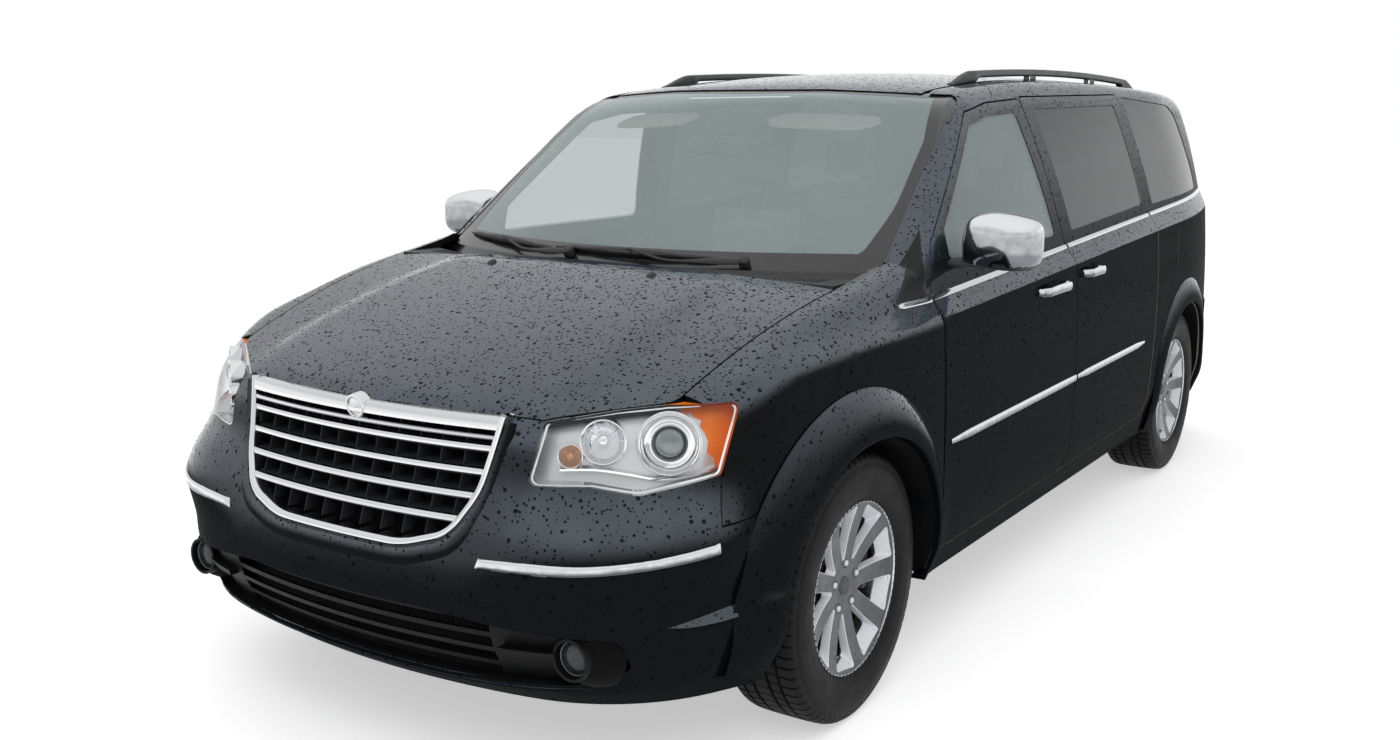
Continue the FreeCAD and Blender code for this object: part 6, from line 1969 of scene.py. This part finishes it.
def seat_set(name, x, y, floor, nodes, cushion, back, rests):
    """Places the pads of a seat whose front edge is at y, with shell, posts and rails."""
    z = floor + 0.200
    seat_m = Matrix.Translation((x, y + 0.026, z + 0.076)) @ Matrix.Rotation(math.radians(2.5), 4, "X")
    put_pad(name + "_cushion", cushion, seat_m, nodes)
    lean = math.radians(90 - 8.6)
    frame_m = Matrix.Translation((x, y + 0.530, z + 0.062)) @ Matrix.Rotation(lean, 4, "X")
    put_pad(name + "_back", back, frame_m, nodes)
    for i, rx in enumerate(rests):
        m = Matrix.Translation((rx, y + 0.5795, z + 0.748)) @ Matrix.Rotation(lean, 4, "X")
        put_pad("%s_rest_%d" % (name, i + 1), rest_shape, m, nodes)
    half = (0.26 if len(rests) == 1 else 0.58)
    b = Build()
    for rx in rests:
        for dx in (-0.052, 0.052):
            b.tube([(rx + dx, y + 0.577, z + 0.640), (rx + dx, y + 0.588, z + 0.735),
                    (rx + dx, y + 0.592, z + 0.790)], 0.0065, 12, 0)
            b.lathe([(0, 0.013), (0.006, 0.012), (0.0085, 0.008)], (rx + dx, y + 0.5805, z + 0.690),
                    (0, 0.1, 1), 16, 1)
    # frame, side covers, recliner and rails
    b.box((x - half + 0.030, y + 0.050, z - 0.045), (x + half - 0.030, y + 0.470, z + 0.024), 1, 0.012)
    for s in (-1, 1):
        sx = x + s * (half - 0.020)
        b.box((sx - 0.013, y + 0.080, z - 0.040), (sx + 0.013, y + 0.520, z + 0.070), 1, 0.009)
        b.lathe([(-0.016, 0.042), (0.016, 0.042), (0.019, 0.036), (0.0195, 0.001)],
                (sx, y + 0.515, z + 0.075), (s, 0, 0), 28, 1)
        rail = x + s * (half - 0.095)
        b.box((rail - 0.022, y + 0.035, floor + 0.001), (rail + 0.022, y + 0.500, floor + 0.030), 2,
              0.005)
        for yy in (0.085, 0.430):
            b.box((rail - 0.014, y + yy - 0.022, floor + 0.024),
                  (rail + 0.014, y + yy + 0.022, z - 0.036), 2, 0.004)
    # back board
    rows = []
    for i in range(9):
        t = i / 8
        yy, zz = lerp(y + 0.575, y + 0.655, t), lerp(z + 0.08, z + 0.64, t)
        rows.append([(x + u * (half - 0.045) * (1 - 0.06 * t), yy + 0.020 - 0.012 * abs(u) ** 3, zz)
                     for u in [k / 6 - 1 for k in range(13)]])
    b.grid(rows, 1, flip=True)
    frame_obj = b.done(name + "_frame", [DARK_METAL, SEAT_TRIM, STEEL], "body", 40)
    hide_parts(nodes)


for side_name, s in SIGN.items():
    seat_set("front_seat_" + side_name, 0.410 * s, -0.520, 0.360, "front_seats", cushion_front,
             back_front, [0.410 * s])
    seat_set("middle_seat_" + side_name, 0.430 * s, 0.330, 0.360, "rear_seats", cushion_front, back_front,
             [0.430 * s])
seat_set("rear_bench", 0.0, 1.2065, 0.470, "rear_seats", bench_cushion, bench_back, [-0.350, 0.350])


# Steering wheel
def make_wheel():
    centre = Vector((0.372, -0.800, 1.010))
    tilt = Matrix.Rotation(math.radians(-66), 3, "X")
    axis = tilt @ Vector((0, 0, 1))
    right = Vector((1, 0, 0))
    up = tilt @ Vector((0, 1, 0))

    def at(x, y, z=0.0):
        return centre + right * x + up * y + axis * z

    b = Build()
    rows = []
    for a in turns(96):
        grip = 0.0155 + 0.0022 * (math.exp(-((a - 0.35) / 0.22) ** 2) + math.exp(-((a - math.pi + 0.35)
                                                                                   / 0.22) ** 2))
        rows.append([at((0.183 + grip * math.cos(c)) * math.cos(a),
                        (0.183 + grip * math.cos(c)) * math.sin(a), grip * math.sin(c))
                     for c in turns(14)])
    b.grid(rows, 0, close_u=True, close_v=True, flip=True)
    # spokes
    for ang, wide in ((0, 0.030), (180, 0.030), (270, 0.034)):
        ca, sa = math.cos(math.radians(ang)), math.sin(math.radians(ang))
        rows = []
        for t in [j / 8 for j in range(9)]:
            r = lerp(0.045, 0.178, t)
            w = wide * (1 - 0.45 * t)
            z = lerp(-0.012, -0.004, t)
            rows.append([at(r * ca - v * w * sa, r * sa + v * w * ca, z + h) for v, h in
                         ((-1, -0.008), (-1, 0.004), (-0.7, 0.008), (0.7, 0.008), (1, 0.004),
                          (1, -0.008))])
        b.grid(rows, 0, close_v=True)
    # padded hub, plain
    rows = []
    for r, z in ((0.001, 0.030), (0.3, 0.0295), (0.6, 0.027), (0.85, 0.020), (0.97, 0.010), (1.0, -0.004),
                 (1.0, -0.030), (0.8, -0.045)):
        corners = [squarish(a, 0.7) for a in turns(48)]
        rows.append([at(0.078 * r * u, 0.062 * r * v - 0.006, z) for u, v in corners])
    b.grid(rows, 1, close_v=True)
    # column shroud and stalks
    shroud = []
    for t in [j / 6 for j in range(7)]:
        c = at(0, 0, lerp(-0.040, -0.230, t))
        shroud.append([c + right * (0.052 * math.cos(a)) + up * (0.045 * math.sin(a)) for a in turns(24)])
    b.grid(shroud, 1, close_v=True)
    for s in (-1, 1):
        b.tube([at(0.04 * s, 0.005, -0.07), at(0.10 * s, 0.012, -0.065), at(0.165 * s, 0.020, -0.055)],
               [0.007, 0.0075, 0.010], 12, 0)
    wheel = b.done("steering_wheel_detail", [WHEEL_GRIP, SEAT_TRIM], "body", 45)
    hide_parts("steering_wheel")


make_wheel()


# Dashboard face, cabin mirror, visors, door trims, exhaust tip
SCREEN_BLANK = plain("screen_blank", (0.012, 0.014, 0.016), 0.12, coat=0.6)
DIAL = plain("dial_face", (0.55, 0.56, 0.54), 0.4, 0.0, 0.05)
DASH_TREE = tree_of(["dashboard"])
DOOR_TREES = {name: tree_of(["front_door_" + name]) for name in SIGN}


def dash_y(x, z):
    """Rearmost y of the dashboard at a point of its face, in millimetres."""
    hit = DASH_TREE.ray_cast(Vector((x / 1000, 0.2, z / 1000)), Vector((0, -1, 0)), 1.4)
    return hit[0].y * 1000 if hit[0] else -930


def face_frame(b, x0, x1, z0, z1, mat, rise=5.0, rim=6.0, inner=None):
    """Rounded frame that follows the dashboard's face, filled with another finish."""
    cx, cz, hx, hz = (x0 + x1) / 2, (z0 + z1) / 2, (x1 - x0) / 2, (z1 - z0) / 2

    def ring(shrink, lift):
        out = []
        for u, v in [squarish(a, 0.35) for a in turns(40)]:
            px, pz = u * (hx - shrink), v * (hz - shrink)
            out.append((cx + px, dash_y(cx + px, cz + pz) + lift, cz + pz))
        return out

    b.grid([ring(0, -1), ring(0.4, rise * 0.8), ring(2, rise), ring(rim, rise),
            ring(rim + 1, rise * 0.4)], mat, close_v=True)
    fill = ring(rim + 1, rise * 0.4)
    middle = (cx, sum(p[1] for p in fill) / len(fill), cz)
    b.add(fill + [middle], [(k, (k + 1) % 40, 40) for k in range(40)], mat if inner is None else inner)


def make_dash():
    b = BuildMM()
    # four outlets with slats, instrument faces, blank screen, rows of small keys, box lid
    for x0, x1, z0, z1 in ((-690, -570, 985, 1050), (575, 690, 985, 1050), (-165, -60, 962, 1005),
                           (60, 165, 962, 1005)):
        face_frame(b, x0, x1, z0, z1, 0, 6.0, 7.0, 1)
        for k in range(4):
            z = lerp(z0 + 13, z1 - 13, k / 3)
            rows = []
            for x in (x0 + 10, (x0 + x1) / 2, x1 - 10):
                y = dash_y(x, z)
                rows.append([(x, y + 1, z - 2.0), (x, y + 5, z - 2.8), (x, y + 5, z - 0.4),
                             (x, y + 1, z + 1.2)])
            b.grid(rows, 0, close_v=True)
    for cx, r in ((300, 52), (375, 34), (450, 52)):
        y = dash_y(cx, 1035)
        b.lathe([(0, r), (4, r), (5, r - 3), (2.2, r - 5), (2, 0.01)], (cx, y, 1040), (0, 1, 0), 48, 1)
        b.lathe([(2.2, r - 8), (2.9, r - 8.5), (2.9, r - 12), (2.2, r - 12.5)], (cx, y, 1040), (0, 1, 0),
                48, 2)
        for k in range(11):
            a = math.radians(-130 + 26 * k)
            p0 = Vector((cx + (r - 15) * math.sin(a), y + 2.6, 1040 + (r - 15) * math.cos(a)))
            p1 = Vector((cx + (r - 9) * math.sin(a), y + 2.6, 1040 + (r - 9) * math.cos(a)))
            b.tube([p0, p1], 0.9, 6, 2)
        tip = math.radians(-100)
        b.tube([Vector((cx, y + 3.6, 1040)), Vector((cx + (r - 12) * math.sin(tip), y + 3.6,
                                                     1040 + (r - 12) * math.cos(tip)))], 1.1, 6, 2)
    face_frame(b, -96, 96, 880, 952, 0, 5.0, 6.0, 1)
    for row, z in enumerate((862, 842, 822)):
        for k in range(7 - row):
            x = lerp(-78, 78, k / (6 - row))
            face_frame(b, x - 9, x + 9, z - 6, z + 6, 0, 3.0, 3.0)
    for x in (-55, 0, 55):
        y = dash_y(x, 790)
        b.lathe([(-2, 19), (4, 19), (5, 16), (15, 15), (17, 13), (17.2, 0.01)], (x, y, 790), (0, 1, 0.12),
                32, 0)
    face_frame(b, -640, -210, 840, 950, 0, 2.2, 2.0)
    b.done("dash_face_detail", [SEAT_TRIM, SCREEN_BLANK, DIAL], "body", 35)

    # shift lever on the stack, lid and cups of the console
    b = BuildMM()
    y = dash_y(150, 860)
    b.tube([(150, y - 10, 850), (150, y + 22, 872), (150, y + 46, 912)], [12, 9, 8], 16, 0)
    b.lathe([(-20, 9), (-14, 16), (4, 20), (18, 17), (26, 9), (27, 0.01)], (150, y + 50, 922),
            (0, 0.5, 1), 28, 0)
    b.box((-96, -640, 588), (96, -330, 622), 0, 12)
    for x in (-44, 44):
        b.lathe([(0, 41), (9, 41), (11, 38), (2, 36), (1, 0.01)], (x, -720, 628), (0, -0.25, 1), 32, 1)
    b.done("console_detail", [SEAT_TRIM, SCREEN_BLANK], "body", 40)


def make_cabin_mirror():
    p, normal = screen_at(0, 1560)
    b = BuildMM()
    c = p - normal * 78 + Vector((0, 0, -18))
    rows = []
    for dy, g in ((-20, 0.02), (-19, 0.5), (-14, 0.85), (-4, 1.0), (5, 0.99), (7, 0.95), (6.5, 0.90)):
        rows.append([c + Vector((g * 118 * squarish(a, 0.6)[0], dy + 4 * math.cos(a) ** 2,
                                 g * 33 * squarish(a, 0.6)[1]))
                     for a in turns(56)])
    b.grid(rows, 0, close_v=True, flip=True)
    glass = [[c + Vector((g * 108 * squarish(a, 0.6)[0], 6.4, g * 29 * squarish(a, 0.6)[1]))
              for a in turns(56)]
             for g in (1.0, 0.02)]
    b.grid(glass, 1, close_v=True, flip=True)
    b.tube([c + Vector((0, -12, 0)), c + Vector((0, -34, 16)), p - normal * 26, p - normal * 9],
           [9, 8, 9, 15], 16, 0)
    b.done("cabin_mirror", [SEAT_TRIM, MIRROR_GLASS], "body", 45)


def make_visors():
    for side, s in SIGN.items():
        b = BuildMM()
        rows = []
        for i in range(15):
            t = i / 14
            x = s * lerp(150, 520, t)
            p, normal = screen_at(x, 1600 - 14 * t)
            centre = p - normal * 50 + Vector((0, 46, 8))
            end = max(0.25, (1 - abs(2 * t - 1) ** 6) ** 0.5) if 0 < t < 1 else 0.25
            rows.append([centre + Vector((0, 74 * end * math.cos(a),
                                          26 * end * math.cos(a) * 0.9 + 8.5 * end * math.sin(a)))
                         for a in turns(24)])
        b.bar(rows, 0, flip=(s < 0))
        b.done("sun_visor_" + side, [INTERIOR], "body", 45)


def make_doors_inside():
    """Arm rest, pull and pocket on the inner face of each front door."""
    for side, s in SIGN.items():
        b = BuildMM()

        def face(y, z):
            hit = DOOR_TREES[side].ray_cast(Vector((0.3 * s, y / 1000, z / 1000)), Vector((s, 0, 0)), 0.9)
            return abs(hit[0].x) * 1000 if hit[0] else 880

        for y0, y1, z, deep, tall in ((-700, -200, 800, 62, 34), (-900, -180, 440, 46, 60)):
            rows = []
            for i in range(25):
                t = i / 24
                y = lerp(y0, y1, t)
                end = smoothstep(min(t, 1 - t) / 0.12)
                x = face(y, z)
                rows.append([(s * (x + 2), y, z - tall), (s * (x - deep * 0.7 * end), y, z - tall * 0.9),
                             (s * (x - deep * end - 1), y, z - tall * 0.2),
                             (s * (x - deep * 0.92 * end - 1), y, z + 4), (s * (x + 2), y, z + 8)])
            b.grid(rows, 0, flip=(s > 0))
        b.tube([(s * (face(-430, 905) - 2), -430, 905), (s * (face(-430, 905) - 26), -400, 915),
                (s * (face(-330, 905) - 26), -330, 915), (s * (face(-300, 905) - 2), -300, 905)], 8, 12,
               1)
        b.done("door_trim_" + side, [SEAT_TRIM, LAMP_CHROME], "front_door_" + side, 35)


def make_exhaust_tip():
    b = BuildMM()
    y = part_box("exhaust")[1][1] * 1000
    spots = [v.co * 1000 for v in NODE["exhaust"].data.vertices if v.co.y * 1000 > y - 6]
    x = sum(p.x for p in spots) / len(spots)
    z = sum(p.z for p in spots) / len(spots)
    r = max(math.hypot(p.x - x, p.z - z) for p in spots)
    b.lathe([(-70, r + 0.8), (-66, r + 3.0), (-6, r + 3.4), (0, r + 2.6), (0.4, r + 0.8), (-4, r - 1.4),
             (-60, r - 2.0)], (x, y, z), (0, 1, 0), 40, 0)
    b.done("exhaust_tip", [STEEL_BRIGHT], "body", 40)


STEEL_BRIGHT = plain("bright_steel", (0.42, 0.41, 0.40), 0.25, 1.0, 0.15)
make_dash()
make_cabin_mirror()
make_visors()
make_doors_inside()
make_exhaust_tip()


# Floor, sky and lights
FLOOR_HALF = 60.0
FLOOR_Z = -0.0015


def stage_floor():
    mesh = bpy.data.meshes.new("studio_floor")
    r = FLOOR_HALF
    corners = [(-r, -r, FLOOR_Z), (r, -r, FLOOR_Z), (r, r, FLOOR_Z), (-r, r, FLOOR_Z)]
    mesh.from_pydata(corners, [], [(0, 1, 2, 3)])
    obj = bpy.data.objects.new("studio_floor", mesh)
    bpy.context.scene.collection.objects.link(obj)
    m = Mat("studio_floor")
    m.set(Roughness=0.9, Specular_IOR_Level=0.0)
    m.color(m.ramp(m.noise(1.5, 4.0), [(0.3, (0.80, 0.80, 0.80)), (0.7, (0.84, 0.84, 0.84))]))
    m.p.inputs["Emission Color"].default_value = (1, 1, 1, 1)
    flat = m.add("ShaderNodeVectorMath")
    flat.operation = "LENGTH"
    m.link(m.coords(), flat.inputs[0])
    glow = m.mapr(flat.outputs["Value"], 3.0, 9.0, 0.50, 0.72, smooth=True)
    m.link(m.math("MULTIPLY", seen_ray(m.n, m.t.links), glow), m.p.inputs["Emission Strength"])
    mesh.materials.append(m.m)


def seen_ray(nodes, links):
    """One for camera, glossy and transmission rays, else zero."""
    path = nodes.new("ShaderNodeLightPath")
    total = path.outputs["Is Camera Ray"]
    for name in ("Is Glossy Ray", "Is Transmission Ray"):
        node = nodes.new("ShaderNodeMath")
        node.operation = "MAXIMUM"
        links.new(total, node.inputs[0])
        links.new(path.outputs[name], node.inputs[1])
        total = node.outputs[0]
    return total


def world_light():
    world = bpy.data.worlds.new("studio")
    bpy.context.scene.world = world
    world.use_nodes = True
    nodes, links = world.node_tree.nodes, world.node_tree.links
    nodes.clear()
    out = nodes.new("ShaderNodeOutputWorld")
    coord = nodes.new("ShaderNodeTexCoord")
    split = nodes.new("ShaderNodeSeparateXYZ")
    links.new(coord.outputs["Generated"], split.inputs[0])

    def sky(stops, strength):
        ramp = nodes.new("ShaderNodeValToRGB")
        els = ramp.color_ramp.elements
        while len(els) < len(stops):
            els.new(0.5)
        for el, (pos, level) in zip(els, stops):
            el.position = pos
            el.color = (level, level, level * 1.01, 1)
        half = nodes.new("ShaderNodeMath")
        half.operation = "MULTIPLY_ADD"
        half.inputs[1].default_value = 0.5
        half.inputs[2].default_value = 0.5
        links.new(split.outputs["Z"], half.inputs[0])
        links.new(half.outputs[0], ramp.inputs["Fac"])
        shade = nodes.new("ShaderNodeBackground")
        shade.inputs["Strength"].default_value = strength
        links.new(ramp.outputs["Color"], shade.inputs["Color"])
        return shade

    seen = sky([(0.0, 1.0), (0.575, 1.0), (0.63, 0.74), (0.80, 0.86), (1.0, 0.90)], 1.0)
    lit = sky([(0.0, 0.3), (0.5, 0.30), (0.62, 0.46), (1.0, 0.58)], 1.0)
    mix = nodes.new("ShaderNodeMixShader")
    links.new(seen_ray(nodes, links), mix.inputs["Fac"])
    links.new(lit.outputs[0], mix.inputs[1])
    links.new(seen.outputs[0], mix.inputs[2])
    links.new(mix.outputs[0], out.inputs["Surface"])


def area_light(name, place, target, size, power):
    data = bpy.data.lights.new(name, "AREA")
    data.shape = "RECTANGLE"
    data.size, data.size_y = size
    data.energy = power
    obj = bpy.data.objects.new(name, data)
    bpy.context.scene.collection.objects.link(obj)
    obj.location = place
    obj.rotation_euler = (Vector(target) - Vector(place)).to_track_quat("-Z", "Y").to_euler()
    obj.visible_glossy = False


stage_floor()
world_light()
area_light("key", (4.0, -6.5, 6.5), (0, -0.5, 0.5), (6, 5), 230)
area_light("top", (0, 0, 7.5), (0, 0, 0), (7, 10), 160)
area_light("back", (-6.5, 5.0, 4.5), (0, 0.5, 0.5), (5, 4), 130)

bpy.context.scene.view_settings.view_transform = "Standard"
bpy.context.view_layer.update()
